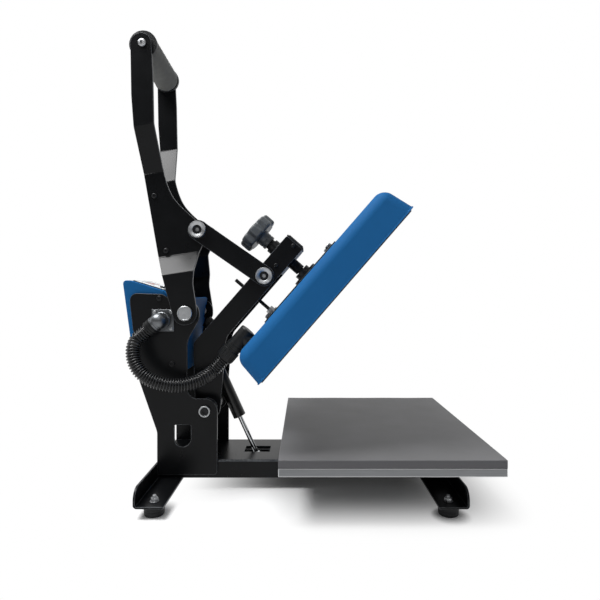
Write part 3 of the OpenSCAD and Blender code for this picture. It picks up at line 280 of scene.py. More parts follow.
# Column: two plates welded to the channel, tied by a round bar, with the arm shaft through them.
# Laser-cut steel plate, powder coated with the base. Black oxide button screws hold the tie and the
# housing, small plated ones the connector.
COLUMN_OUT = 78.5
TIE_SCREW, HOUSING_SCREW = (-262, 265), (-289, 402)
PLUG_X, PLUG_Z, FLANGE_SCREW = -281.4, 356, 17
NEAR, FAR = Matrix.Rotation(radians(90), 4, "X"), Matrix.Rotation(radians(-90), 4, "X")
SIDES = (NEAR, FAR)


def socket(af, top, depth):
    """Rings of a hexagon socket: a thin-walled cup that sits in a round hole in a screw's head."""
    r = HEX_CORNER * af
    hole = turned(SMALL, (1.06 * r, top), (1.06 * r, top - depth - 0.2))
    return hole + turned(HEX, (1.2 * r, top - depth - 0.1), (1.2 * r, top + 0.02), (r, top + 0.02),
                         (0.96 * r, top - 0.3), (0.96 * r, top - depth))


def button_head(radius, height, af, foot):
    """Rings of a button-head screw with a hexagon socket, from its seat up."""
    dome = turned(SMALL, (radius, foot), (radius, foot + 0.3 * height),
                  (0.84 * radius, foot + 0.8 * height), (0.66 * radius, foot + height))
    return dome + socket(af, foot + height, 0.6 * height)


# Black oxide: a thin dark conversion coat, so the steel's own gloss still shows through it
black_oxide, tree, place = blank("black oxide steel")
oil = add(tree, "ShaderNodeTexNoise", {"Vector": place, "Scale": 1 / (5 * MM), "Detail": 4})
tone = add(tree, "ShaderNodeMix", {SHARE: oil, LOW: "#121315", HIGH: "#242527"}, data_type="RGBA")
gloss = add(tree, "ShaderNodeMapRange", {"Value": oil, "To Min": 0.28, "To Max": 0.5})
surfaced(tree, {"Base Color": tone, "Metallic": 0.55, "Roughness": gloss})

for node in ("column_plate_near", "column_plate_far", "column_tie"):
    eased(node, 0.9, powder_coat, "black_paint")
button_screws, flange_screws = bmesh.new(), bmesh.new()
for x, z in (TIE_SCREW, HOUSING_SCREW):
    for turn in SIDES:
        stacked(button_screws, turned(SMALL, (3, 66)) + button_head(6, 3, 4, COLUMN_OUT),
                shift(x, 0, z) @ turn)
for x in (PLUG_X - FLANGE_SCREW, PLUG_X + FLANGE_SCREW):
    for z in (PLUG_Z - FLANGE_SCREW, PLUG_Z + FLANGE_SCREW):
        stacked(flange_screws, turned(SMALL, (2.1, 79)) + button_head(4.2, 2.1, 2.6, 80.5),
                shift(x, 0, z) @ NEAR)
fitted("column_button_screws", button_screws, [black_oxide], "frame", "zinc", "column_screws")
fitted("connector_flange_screws", flange_screws, [zinc], "frame", "zinc", "column_screws")

# Pivots in the column: the shaft that the arm swings on and the two bolts of the hand lever.
# Turned steel, zinc plated. The shaft is hollow at its ends, with a socket screw in each.
pivots = {joint["name"]: Matrix.Translation(joint["pos_m"])
          for joint in frame["joints"] if joint["type"] == "hinge"}
shaft = bmesh.new()
for turn in SIDES:
    at = pivots["arm_swing"] @ turn
    stacked(shaft, turned(ROUND, (9.6, 0), (10, 0.4), (10, COLUMN_OUT), (11.7, COLUMN_OUT), (12, 78.8),
                          (12, 83.8), (11.4, 84.5), (9.4, 84.5), (8.9, 84), (8.9, 81.2)), at)
    stacked(shaft, turned(SMALL, (8.4, 80), (8.4, 83), (7.8, 83.6)) + socket(8, 83.6, 2), at, skin=1)
fitted("arm_shaft_turned", shaft, [zinc, black_oxide], "frame", "zinc", "arm_pivot_shaft")

pivot_bolts = bmesh.new()
for turn in SIDES:
    at = pivots["handle_swing"] @ turn
    stacked(pivot_bolts, turned(ROUND, (7.2, 61.5), (8, 62.3), (8, COLUMN_OUT), (16.7, COLUMN_OUT),
                                (17, 78.8), (17, 82.3), (16.7, 82.6), (8, 82.6), (8, 89.6), (15.1, 89.6),
                                (15.5, 90), (15.5, 97.4), (14.4, 98.6), (12.6, 98.6), (12.2, 98.2),
                                (2, 98.3), (1.2, 97.8)), at)
    stacked(pivot_bolts, hex_nut(22, 64.5, 72.5), at)
fitted("lever_pivot_bolts", pivot_bolts, [zinc], "frame", "zinc", "handle_pivot_bolts")

# Lower platen: two box rails across the channel, an aluminium plate and its bolts.
# The plate is milled flat, with a fine cutter pattern on its faces and a broken edge all round.
eased("platen_rails", 0.8, powder_coat, "black_paint")
eased("platen_bolts", 0.4, zinc, "zinc")

# Milled aluminium: long fine lines along the plate, softened by oxide; its eased edges are painted near
# white as a painted highlight
milled, tree, place = blank("milled aluminium")
along = add(tree, "ShaderNodeMapping", {"Vector": place,
                                        "Scale": (1 / (60 * MM), 1 / (60 * MM), 1 / (0.8 * MM))})
lines = add(tree, "ShaderNodeTexNoise", {"Vector": along, "Scale": 1.0, "Detail": 4})
oxide = add(tree, "ShaderNodeTexNoise", {"Vector": place, "Scale": 1 / (30 * MM), "Detail": 5})
edge = add(tree, "ShaderNodeAttribute", attribute_name="painted_edge_highlight")
tone = add(tree, "ShaderNodeMix", {SHARE: lines, LOW: "#6f7173", HIGH: "#8f9193"}, data_type="RGBA")
# The eased edges are painted pale: a painted highlight
colour = add(tree, "ShaderNodeMix", {SHARE: edge.outputs["Fac"], LOW: tone, HIGH: "#d2d4d5"},
             data_type="RGBA")
gloss = add(tree, "ShaderNodeMapRange", {"Value": oxide, "To Min": 0.36, "To Max": 0.54})
bump = add(tree, "ShaderNodeBump", {"Height": lines, "Strength": 0.1, "Distance": 0.2 * MM})
surfaced(tree, {"Base Color": colour, "Metallic": 1.0, "Roughness": gloss, "Normal": bump})
eased("lower_platen", 1.4, milled, "aluminium")

# Silicone pad: a sheet of grey silicone sponge, bonded to the lower platen.
# Cut from slab, so its top has a smooth skin with faint pores, drawn coarser than they are so that they
# show. Its colour grows darker as a face turns from upward to the sides.
pad_low, pad_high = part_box("silicone_pad")
pad_mid, pad_half = (pad_low + pad_high) / 2, (pad_high - pad_low) / 2
silicone, tree, place = blank("grey silicone sponge")
pores = add(tree, "ShaderNodeTexVoronoi", {"Vector": place, "Scale": 1 / (1.8 * MM)})
mottle = add(tree, "ShaderNodeTexNoise", {"Vector": place, "Scale": 1 / (70 * MM), "Detail": 6})
up = add(tree, "ShaderNodeSeparateXYZ", {0: add(tree, "ShaderNodeNewGeometry").outputs["Normal"]})
tone = add(tree, "ShaderNodeMix", {SHARE: mottle, LOW: "#626263", HIGH: "#767679"}, data_type="RGBA")
# Faces pointing up take the paler tone, upright faces the darker one
colour = add(tree, "ShaderNodeMix", {SHARE: up.outputs["Z"], LOW: "#505053", HIGH: tone}, data_type="RGBA")
bump = add(tree, "ShaderNodeBump", {"Height": pores, "Strength": 0.15, "Distance": 0.3 * MM})
surfaced(tree, {"Base Color": colour, "Roughness": 0.5, "Normal": bump, "Specular IOR Level": 0.4})

pad = bmesh.new()
bmesh.ops.create_cube(pad, size=2, matrix=Matrix.Translation(pad_mid) @ Matrix.Diagonal((*pad_half, 1)))
top_rim = [e for e in pad.edges if all(v.co.z > pad_mid.z for v in e.verts)]
uprights = [e for e in pad.edges if abs((e.verts[0].co - e.verts[1].co).z) > pad_half.z]
rounded(pad, top_rim + uprights, 1.4, 4)
lengthwise = [e for e in pad.edges if abs((e.verts[0].co - e.verts[1].co).x) > pad_half.x]
bmesh.ops.subdivide_edges(pad, edges=lengthwise, cuts=39, use_grid_fill=True)
widthwise = [e for e in pad.edges if abs((e.verts[0].co - e.verts[1].co).y) > pad_half.y]
bmesh.ops.subdivide_edges(pad, edges=widthwise, cuts=49, use_grid_fill=True)
# The top is never quite flat: it has shallow hollows, and it sags a little at the two ends
for v in pad.verts:
    across, down = (v.co.x - pad_mid.x) / pad_half.x, v.co.y / pad_half.y
    if v.co.z > pad_mid.z:
        v.co.z -= 0.35 * MM * (0.5 + 0.5 * sin(9 * across + 2) * sin(7 * down + 1)) * (1 - across ** 8)
        v.co.z -= 0.5 * MM * max(0, abs(down) - 0.97) * 30
pad = fitted("silicone_sponge_pad", pad, [silicone], "frame", "silicone", "silicone_pad")

# Control housing: the blue shell between the column plates, with its panel, display and buttons.
# Moulded ABS with a fine spark-eroded grain; the panel is a printed polycarbonate overlay on a plate.
PANEL_X, PANEL_Z, PANEL_SLOPE = -316.8, 428.75, radians(16.999)
PRINT_X, PRINT_Y = 31.5, 58.5
DISPLAY_X, DIGITS_Z = -13.48, 1.62

# Moulded ABS: even colour, a low satin gloss and the pebbly grain of a spark-eroded mould, drawn coarse
# enough to show. Its eased edges are painted a paler blue as a painted highlight.
blue_abs, tree, place = blank("moulded blue ABS")
grain = add(tree, "ShaderNodeTexVoronoi", {"Vector": place, "Scale": 1 / (0.9 * MM)})
flow = add(tree, "ShaderNodeTexNoise", {"Vector": place, "Scale": 1 / (90 * MM), "Detail": 4})
edge = add(tree, "ShaderNodeAttribute", attribute_name="painted_edge_highlight")
# Paler eased edges: a painted highlight
edge_glint = add(tree, "ShaderNodeMath", {0: edge.outputs["Fac"], 1: 0.35}, operation="MULTIPLY")
tone = add(tree, "ShaderNodeMix", {SHARE: flow, LOW: "#174f80", HIGH: "#1d598d"}, data_type="RGBA")
colour = add(tree, "ShaderNodeMix", {SHARE: edge_glint, LOW: tone, HIGH: "#2f72b4"}, data_type="RGBA")
gloss = add(tree, "ShaderNodeMapRange", {"Value": flow, "To Min": 0.54, "To Max": 0.64})
bump = add(tree, "ShaderNodeBump", {"Height": grain, "Strength": 0.07, "Distance": 0.2 * MM})
surfaced(tree, {"Base Color": colour, "Roughness": gloss, "Normal": bump, "Specular IOR Level": 0.05})
eased("control_housing", 1.2, blue_abs, "blue_plastic")

# Printed overlay: pale grey with a darker frame round the panel, under a matt film
overlay, tree, place = blank("printed polycarbonate overlay")
centred = add(tree, "ShaderNodeMapping", {"Vector": place, "Location": (-PANEL_X * MM, 0, -PANEL_Z * MM)})
level = add(tree, "ShaderNodeVectorRotate", {"Vector": centred, "Axis": (0, 1, 0), "Angle": -PANEL_SLOPE})
xyz = add(tree, "ShaderNodeSeparateXYZ", {0: level})
far_x = add(tree, "ShaderNodeMath", {0: xyz.outputs["X"]}, operation="ABSOLUTE")
far_y = add(tree, "ShaderNodeMath", {0: xyz.outputs["Y"]}, operation="ABSOLUTE")
out_x = add(tree, "ShaderNodeMath", {0: far_x, 1: PRINT_X * MM}, operation="GREATER_THAN")
out_y = add(tree, "ShaderNodeMath", {0: far_y, 1: PRINT_Y * MM}, operation="GREATER_THAN")
border = add(tree, "ShaderNodeMath", {0: out_x, 1: out_y}, operation="MAXIMUM")
film = add(tree, "ShaderNodeTexNoise", {"Vector": place, "Scale": 1 / (0.8 * MM), "Detail": 2})
tone = add(tree, "ShaderNodeMix", {SHARE: border, LOW: "#c9cdd0", HIGH: "#3b4046"}, data_type="RGBA")
bump = add(tree, "ShaderNodeBump", {"Height": film, "Strength": 0.1, "Distance": 0.1 * MM})
surfaced(tree, {"Base Color": tone, "Roughness": 0.42, "Normal": bump})
eased("control_panel", 0.4, overlay, "panel")

# Display window: smoked acrylic, nearly black and glossy, with a faint haze
smoked, tree, place = blank("smoked acrylic window")
haze = add(tree, "ShaderNodeTexNoise", {"Vector": place, "Scale": 1 / (20 * MM), "Detail": 3})
tone = add(tree, "ShaderNodeMix", {SHARE: haze, LOW: "#140b0c", HIGH: "#241416"}, data_type="RGBA")
surfaced(tree, {"Base Color": tone, "Roughness": 0.12, "IOR": 1.49})
eased("display_window", 0.3, smoked, "display")

# Digits: red bars on the face of the window, which is opaque here, glowing just enough to read
lit, tree, place = blank("red display segments")
glow = add(tree, "ShaderNodeTexNoise", {"Vector": place, "Scale": 1 / (3 * MM), "Detail": 2})
tone = add(tree, "ShaderNodeMix", {SHARE: glow, LOW: "#8e150f", HIGH: "#d3281c"}, data_type="RGBA")
surfaced(tree, {"Base Color": tone, "Roughness": 0.3, "Emission Color": tone, "Emission Strength": 0.35})
SEGMENTS = {"1": "bc", "0": "abcdef", "5": "acdfg", "8": "abcdefg"}
BARS = {"a": (-7, 0, 0), "g": (0, 0, 0), "d": (7, 0, 0), "f": (-3.5, -3.5, 1), "b": (-3.5, 3.5, 1),
        "e": (3.5, -3.5, 1), "c": (3.5, 3.5, 1)}
BAR_L, BAR_W, BAR_H = 5.4, 1.3, 0.12
digits = bmesh.new()
panel = shift(PANEL_X, 0, PANEL_Z) @ Matrix.Rotation(PANEL_SLOPE, 4, "Y")
for digit_y, digit in ((-24, "1"), (-13, "8"), (-2, "0"), (15, "1"), (26, "5")):
    for bar in SEGMENTS[digit]:
        x, y, upright = BARS[bar]
        size_x, size_y = (BAR_L, BAR_W) if upright else (BAR_W, BAR_L)
        bmesh.ops.create_cube(digits, size=MM, matrix=panel @ shift(x + DISPLAY_X, y + digit_y, DIGITS_Z)
                              @ Matrix.Diagonal((size_x, size_y, BAR_H, 1)))
fitted("display_digits", digits, [lit], "frame", "display")

# Red ABS of the set button and the switch: even colour and a soft gloss over a fine moulded grain
red_abs, tree, place = blank("moulded red ABS")
grain = add(tree, "ShaderNodeTexNoise", {"Vector": place, "Scale": 1 / (0.8 * MM), "Detail": 2})
tint = add(tree, "ShaderNodeTexNoise", {"Vector": place, "Scale": 1 / (12 * MM), "Detail": 3})
tone = add(tree, "ShaderNodeMix", {SHARE: tint, LOW: "#a92d26", HIGH: "#c03d33"}, data_type="RGBA")
bump = add(tree, "ShaderNodeBump", {"Height": grain, "Strength": 0.1, "Distance": 0.1 * MM})
surfaced(tree, {"Base Color": tone, "Roughness": 0.38, "Normal": bump})

# Glass-filled nylon: charcoal, slightly mottled, with a dull gloss; its eased edges are painted paler as a
# painted highlight
nylon, tree, place = blank("moulded black nylon")
grain = add(tree, "ShaderNodeTexNoise", {"Vector": place, "Scale": 1 / (0.8 * MM), "Detail": 3})
mottle = add(tree, "ShaderNodeTexNoise", {"Vector": place, "Scale": 1 / (14 * MM), "Detail": 5})
edge = add(tree, "ShaderNodeAttribute", attribute_name="painted_edge_highlight")
# Paler eased edges: a painted highlight
edge_glint = add(tree, "ShaderNodeMath", {0: edge.outputs["Fac"], 1: 0.3}, operation="MULTIPLY")
tone = add(tree, "ShaderNodeMix", {SHARE: mottle, LOW: "#0d0e0f", HIGH: "#181a1b"}, data_type="RGBA")
colour = add(tree, "ShaderNodeMix", {SHARE: edge_glint, LOW: tone, HIGH: "#3a3d40"}, data_type="RGBA")
bump = add(tree, "ShaderNodeBump", {"Height": grain, "Strength": 0.14, "Distance": 0.2 * MM})
surfaced(tree, {"Base Color": colour, "Roughness": 0.42, "Normal": bump, "Specular IOR Level": 0.28})

for node in ("button_up", "button_down", "button_set", "power_rocker", "switch_bezel", "cord_gland"):
    if node in ("button_set", "power_rocker"):
        eased(node, 0.4, red_abs, "red_plastic")
    else:
        eased(node, 0.4, nylon, "black_plastic")

# Circuit board: green solder mask with paler copper runs, drawn as a brick pattern
fibreglass, tree, place = blank("solder masked fibreglass board")
runs = add(tree, "ShaderNodeTexBrick", {"Vector": place, "Scale": 1 / (14 * MM), "Mortar Size": 0.06,
                                        "Color1": "#1f5636", "Color2": "#255f3d", "Mortar": "#3f8a58"})
surfaced(tree, {"Base Color": runs, "Roughness": 0.35})
nodes["control_board"].material_slots[0].material = fibreglass

# Conduit: plated connector on the near column plate, right-angle plug, and the ribbed hose to the arm.
# The flange and plug are nickel-plated die castings, the plug with a nylon sleeve on its end; the hose is
# corrugated nylon tube with round ribs, pushed into the sleeve and the elbow.
PLUG = Vector((PLUG_X, -112, PLUG_Z)) * MM
PLUG_OUT = Matrix.Translation(PLUG) @ Matrix.Rotation(radians(-130), 4, "Y")
PLUG_END, RING_FLATS = 25, 20

# Satin nickel: a dull silver, clouded, with the fine grain of the casting under it
nickel, tree, place = blank("satin nickel plated die casting")
cast = add(tree, "ShaderNodeTexNoise", {"Vector": place, "Scale": 1 / (1.4 * MM), "Detail": 4})
cloud = add(tree, "ShaderNodeTexNoise", {"Vector": place, "Scale": 1 / (9 * MM), "Detail": 4})
tone = add(tree, "ShaderNodeMix", {SHARE: cloud, LOW: "#5a5c5f", HIGH: "#888b8e"}, data_type="RGBA")
bump = add(tree, "ShaderNodeBump", {"Height": cast, "Strength": 0.15, "Distance": 0.2 * MM})
surfaced(tree, {"Base Color": tone, "Metallic": 1.0, "Roughness": 0.4, "Normal": bump})
eased("connector_flange", 0.5, nickel, "zinc")

plug = bmesh.new()
straight = shift(PLUG_X, 0, PLUG_Z) @ NEAR
stacked(plug, turned(RING_FLATS, (16.6, 81.5), (18, 82.4), (18, 92.6), (16.9, 93.8)), straight)
stacked(plug, turned(ROUND, (15.6, 94.2), (15.6, 97), (16, 97.4), (16, 112)), straight)
stacked(plug, [(ROUND, 17 * cos(radians(a)) + 0.01, 17 * sin(radians(a))) for a in range(-90, 91, 10)],
        Matrix.Translation(PLUG))
stacked(plug, turned(ROUND, (16, 0), (16, 8), (17, 8.6), (17, 11.4), (16.2, 12)), PLUG_OUT)
stacked(plug, turned(ROUND, (15.4, 11.8), (15.4, 14), (16.8, 14.6), (16.8, 18.4), (15.6, 19), (15.6, 20.4),
                     (16.8, 21), (16.8, 24.2), (16, PLUG_END), (12, PLUG_END), (12, 18)), PLUG_OUT, skin=1)
fitted("right_angle_plug", plug, [nickel, nylon], "frame", "black_plastic", "connector_plug")

# Hose route in metres, the same points as the solid: out of the plug, round, and into the elbow
HOSE_OUT, HOSE_IN = Vector((-0.766044, 0, -0.642788)), Vector((0.656059, 0, 0.754710))
HOSE_D, HOSE_VALLEY_R, HOSE_BORE_R = 28.5, 11.3, 10
HOSE_RIBS, HOSE_SIDES = 56, 28
SPAN_STEPS, STRAIGHT_END = 24, 20
hose_first = PLUG + PLUG_END * MM * HOSE_OUT
hose_last = Vector((-154.187, -78, 275.818)) * MM
way = [hose_first, hose_first + HOSE_D * MM * HOSE_OUT]
way += [Vector(p) * MM for p in ((-328, -121, 306), (-325, -129, 282), (-313, -133, 260), (-293, -133, 243),
                                 (-268, -130, 233), (-240, -123, 228), (-213, -112, 231), (-191, -97, 240))]
way += [hose_last - HOSE_D * MM * HOSE_IN, hose_last]
# Both end spans are straight; the others are cubics whose slopes at each point weigh the spans beside it
route = []
for i in range(len(way) - 1):
    p, q = way[i], way[i + 1]
    d = (q - p).length
    for k in range(SPAN_STEPS):
        f = k / SPAN_STEPS
        if i in (0, len(way) - 2):
            route.append(p + f * (q - p))
            continue
        before, after = p - way[i - 1], way[i + 2] - q
        m = d * (before / before.length_squared + (q - p) / d ** 2).normalized()
        n = d * ((q - p) / d ** 2 + after / after.length_squared).normalized()
        m = d * HOSE_OUT if i == 1 else m
        n = d * HOSE_IN if i == len(way) - 3 else n
        route.append((2 * f ** 3 - 3 * f ** 2 + 1) * p + (f ** 3 - 2 * f ** 2 + f) * m
                     + (3 * f ** 2 - 2 * f ** 3) * q + (f ** 3 - f ** 2) * n)
route.append(hose_last)
reach = [0.0]
for p, q in zip(route, route[1:]):
    reach.append(reach[-1] + (q - p).length)
hose_length = reach[-1]

# A straight corrugated tube is turned first and then laid along the route
hose = bmesh.new()
RIB = ((0, HOSE_VALLEY_R), (0.14, 11.4), (0.25, 12.7), (0.35, 13.8), (0.5, HOSE_D / 2), (0.65, 13.8),
       (0.75, 12.7), (0.86, 11.4))
rings = [(0, HOSE_BORE_R)]
rings += [((k + f) / HOSE_RIBS * hose_length, r) for k in range(HOSE_RIBS) for f, r in RIB]
rings += [(hose_length, HOSE_VALLEY_R), (hose_length, HOSE_BORE_R)]
profile = [hose.verts.new((r * MM, 0, s)) for s, r in rings]
profile += [hose.edges.new(pair) for pair in zip(profile, profile[1:])]
bmesh.ops.spin(hose, geom=profile, axis=(0, 0, 1), cent=(0, 0, 0), dvec=(0, 0, 0), angle=2 * pi,
               steps=HOSE_SIDES, use_merge=True)
bmesh.ops.remove_doubles(hose, verts=hose.verts, dist=1e-6)
bmesh.ops.recalc_face_normals(hose, faces=hose.faces)
along_hose = hose.verts.layers.float.new("along")
for v in hose.verts:
    s = v.co.z
    i = max(0, min(len(reach) - 2, sum(1 for r in reach if r <= s) - 1))
    f = (s - reach[i]) / (reach[i + 1] - reach[i])
    ahead = (route[min(len(route) - 1, i + 2)] - route[max(0, i - 1)]).normalized()
    ahead = HOSE_OUT if s < STRAIGHT_END * MM else ahead
    ahead = HOSE_IN if s > hose_length - STRAIGHT_END * MM else ahead
    side = ahead.cross(Vector((0, 1, 0))).normalized()
    v[along_hose] = s
    v.co = route[i].lerp(route[i + 1], f) + v.co.x * side + v.co.y * ahead.cross(side)

# Corrugated nylon: ribs painted charcoal as a painted highlight and valleys black as painted shade,
# its gloss dulled in places by dust
conduit, tree, place = blank("corrugated black nylon tube")
along = add(tree, "ShaderNodeAttribute", attribute_name="along")
phase = add(tree, "ShaderNodeMath", {0: along.outputs["Fac"], 1: 2 * pi * HOSE_RIBS / hose_length},
            operation="MULTIPLY")
wave = add(tree, "ShaderNodeMath", {0: phase}, operation="COSINE")
# Rib crests get the painted highlight, the valleys the painted shade
rib_light_valley_shade = add(tree, "ShaderNodeMapRange", {"Value": wave, "From Min": 0.1, "From Max": -1.0})
dust = add(tree, "ShaderNodeTexNoise", {"Vector": place, "Scale": 1 / (10 * MM), "Detail": 4})
tone = add(tree, "ShaderNodeMix", {SHARE: rib_light_valley_shade, LOW: "#030304", HIGH: "#2a2b2d"}, data_type="RGBA")
gloss = add(tree, "ShaderNodeMapRange", {"Value": dust, "To Min": 0.2, "To Max": 0.36})
surfaced(tree, {"Base Color": tone, "Roughness": gloss, "Specular IOR Level": 0.45})
hose = fitted("corrugated_hose", hose, [conduit], "frame", "rubber", "conduit_hose", crease=75)
hose.modifiers.clear()
hose.parent = None
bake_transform(hose)

# Gas spring: it carries the open arm, from a bracket in the channel's slot to a pin in the arm.
# Black enamelled tube with a rolled gland, and a hard-chromed rod.

# Stoved enamel: smooth and deep black, with a slightly uneven gloss
enamel, tree, place = blank("black enamelled tube")
drips = add(tree, "ShaderNodeTexNoise", {"Vector": place, "Scale": 1 / (25 * MM), "Detail": 4})
tone = add(tree, "ShaderNodeMix", {SHARE: drips, LOW: "#060707", HIGH: "#0f1011"}, data_type="RGBA")
gloss = add(tree, "ShaderNodeMapRange", {"Value": drips, "To Min": 0.24, "To Max": 0.36})
surfaced(tree, {"Base Color": tone, "Roughness": gloss, "Specular IOR Level": 0.45})

# Hard chrome: bright and nearly a mirror, a little clouded by grinding
chrome, tree, place = blank("hard chromed steel")
drawn = add(tree, "ShaderNodeTexNoise", {"Vector": place, "Scale": 1 / (3 * MM), "Detail": 5})
tone = add(tree, "ShaderNodeMix", {SHARE: drawn, LOW: "#a9acae", HIGH: "#cfd2d4"}, data_type="RGBA")
gloss = add(tree, "ShaderNodeMapRange", {"Value": drawn, "To Min": 0.1, "To Max": 0.22})
surfaced(tree, {"Base Color": tone, "Metallic": 1.0, "Roughness": gloss})
eased("spring_bracket", 0.6, powder_coat, "black_paint")
eased("gas_cylinder", 0.8, enamel, "black_paint")
eased("gas_rod", 0.5, chrome, "zinc")

# Hand lever: two bent side plates, tied by rods and by the toggle tube, with a foam grip on top.
# Plates are laser cut and folded twice on a press brake, then powder coated. The screws of the ties are
# black oxide, those of the grip zinc plated.
LEVER_LEAN, GRIP_Z = 8.962, 565
TIES = ((-29.5, 139), (-36, 260))
lever = pivots["handle_swing"] @ Matrix.Rotation(radians(-LEVER_LEAN), 4, "Y")


def brake_folds(bm):
    """The lever plates' press-brake folds, which turn by less than any cut edge."""
    return [e for e in bm.edges if len(e.link_faces) == 2 and e.calc_length() > 12 * MM
            and radians(15) < e.calc_face_angle() < radians(50)]


for node in ("handle_plate_near", "handle_plate_far"):
    eased(node, 0.9, powder_coat, "black_paint", 4, brake_folds)
for node in ("tie_rods", "toggle_tube"):
    eased(node, 0.5, powder_coat, "black_paint")
eased("grip_core", 1.0, nylon, "black_plastic")
tie_screws, grip_screws = bmesh.new(), bmesh.new()
for turn in SIDES:
    for x, z in TIES:
        stacked(tie_screws, turned(SMALL, (3.5, 30)) + button_head(6.3, 3.5, 4, 50),
                lever @ shift(x, 0, z) @ turn)
    stacked(grip_screws, turned(SMALL, (5, 61)) + button_head(8.5, 4, 5, 95),
            lever @ shift(0, 0, GRIP_Z) @ turn)
fitted("lever_tie_screws", tie_screws, [black_oxide], "handle", "zinc", "handle_screws")
fitted("grip_end_screws", grip_screws, [zinc], "handle", "zinc", "handle_screws")

# Closed-cell foam: matt charcoal with an uneven skin, and pores drawn coarse enough to show
foam, tree, place = blank("closed cell rubber foam")
cells = add(tree, "ShaderNodeTexVoronoi", {"Vector": place, "Scale": 1 / (1.3 * MM)})
skin = add(tree, "ShaderNodeTexNoise", {"Vector": place, "Scale": 1 / (16 * MM), "Detail": 6})
tone = add(tree, "ShaderNodeMix", {SHARE: skin, LOW: "#4e4e4b", HIGH: "#62625e"}, data_type="RGBA")
bump = add(tree, "ShaderNodeBump", {"Height": cells, "Strength": 0.35, "Distance": 0.4 * MM})
surfaced(tree, {"Base Color": tone, "Roughness": 0.85, "Normal": bump, "Specular IOR Level": 0.3,
                "Sheen Weight": 0.15, "Sheen Roughness": 0.5})
grip = bmesh.new()
profile = turned(ROUND, (15.1, -81), (25.2, -81), (27, -80.2), (27.8, -78))
profile += [(ROUND, 27.85 + 0.15 * sin(k * 1.9), -75 + 6 * k) for k in range(26)]
profile += turned(ROUND, (27.8, 78), (27, 80.2), (25.2, 81), (15.1, 81))
stacked(grip, profile, lever @ shift(0, 0, GRIP_Z) @ FAR)
grip = fitted("foam_grip", grip, [foam], "handle", "foam", "handle_grip", crease=60)

# Toggle: two link bars between the lever and the arm, on shouldered bolts with dished heads.
# Flat bar, powder coated. Each bolt is a plated disc with a black socket screw through its middle.
TOGGLE_X, TOGGLE_Z = 46.1, 171.9
LINK_DIP, LINK_L = 34.74, 172.755
FINE = 64
link = pivots["link_swing"] @ Matrix.Rotation(radians(LINK_DIP), 4, "Y")


def dished_bolt(bm, low, at):
    """A shouldered bolt: plated shank and dished head, and the socket screw sunk in it."""
    stacked(bm, turned(ROUND, (10, low), (10, 59)), at)
    stacked(bm, turned(FINE, (17.8, 59), (18.25, 59.5), (18.25, 67.9), (17.4, 69), (15.6, 69), (10.2, 67),
                       (9.4, 66), (9.4, 63)), at)
    stacked(bm, turned(SMALL, (9.1, 62), (9.1, 65.6), (8.3, 66.4)) + socket(8, 66.4, 3.6), at, skin=1)


for node in ("link_near", "link_far"):
    eased(node, 1.0, powder_coat, "black_paint")
upper, lower = bmesh.new(), bmesh.new()
for turn in SIDES:
    dished_bolt(upper, 24, lever @ shift(TOGGLE_X, 0, TOGGLE_Z) @ turn)
    dished_bolt(lower, 50.5, link @ shift(LINK_L, 0, 0) @ turn)
    stacked(lower, turned(ROUND, (13.6, 58.5), (14, 58.7), (14, 60)), link @ shift(LINK_L, 0, 0) @ turn)
fitted("toggle_bolts_dished", upper, [zinc, black_oxide], "handle", "zinc", "toggle_bolts")
fitted("link_bolts_dished", lower, [zinc, black_oxide], "links", "zinc", "link_bolts")

# Arm: folded channel beam that swings the upper platen, with the nut block, end cap and hold magnet.
# Steel sheet, powder coated; the cap is ribbed nylon, the magnet is potted in black rubber.
ARM_OPEN, SPINDLE_U = 49, 356
MAGNET_U, BLOCK_SCREW, BLOCK_SCREW_W = 130.7, 28, 90
arm = pivots["arm_swing"] @ Matrix.Rotation(radians(-ARM_OPEN), 4, "Y")
eased("press_arm", 1.0, powder_coat, "black_paint")
eased("arm_end_cap", 0.6, nylon, "rubber")
eased("nut_block", 0.6, black_oxide, "grey_steel")
eased("guide_nut", 0.7, black_oxide, "zinc")
eased("link_pin", 0.5, zinc, "zinc")
block_screws = bmesh.new()
for turn in SIDES:
    for u in (SPINDLE_U - BLOCK_SCREW, SPINDLE_U + BLOCK_SCREW):
        stacked(block_screws, turned(SMALL, (4, 31)) + button_head(5, 3, 3.2, 46),
                arm @ shift(u, 0, BLOCK_SCREW_W) @ turn)
fitted("nut_block_button_screws", block_screws, [black_oxide], "arm", "zinc", "nut_block_screws")
magnet = bmesh.new()
stacked(magnet, turned(ROUND, (17, 115), (17.5, 115.4), (17.5, 117.4), (16.8, 118), (13.5, 118.3),
                       (13.5, 121), (12.6, 121.6), (12.6, 123), (13.5, 123.6), (13.5, 126), (12.6, 126.6),
                       (12.6, 127.4), (13.2, 128), (13.2, 129.2), (12.4, 130), (5, 130), (4.4, 129)),
        arm @ shift(MAGNET_U, 0, 0))
fitted("hold_magnet_potted", magnet, [rubber], "arm", "rubber", "hold_magnet")

# Upper platen: cast heated plate under a blue cover, hung from a mount plate on four posts.
# The plate is coated with dark non-stick PTFE; the cover is one ABS moulding with drafted walls.
MOUNT_U, MOUNT_Y, GUIDE_U = (235, 434), 40, 244

# PTFE coat: dark grey and matt, with the speckle of the spray
ptfe, tree, place = blank("dark PTFE coat on cast aluminium")
spray = add(tree, "ShaderNodeTexNoise", {"Vector": place, "Scale": 1 / (1.1 * MM), "Detail": 3})
cast = add(tree, "ShaderNodeTexNoise", {"Vector": place, "Scale": 1 / (40 * MM), "Detail": 5})
tone = add(tree, "ShaderNodeMix", {SHARE: cast, LOW: "#1c1d1e", HIGH: "#2b2c2d"}, data_type="RGBA")
bump = add(tree, "ShaderNodeBump", {"Height": spray, "Strength": 0.12, "Distance": 0.2 * MM})
surfaced(tree, {"Base Color": tone, "Roughness": 0.45, "Normal": bump})
eased("heat_platen", 0.8, ptfe, "aluminium")

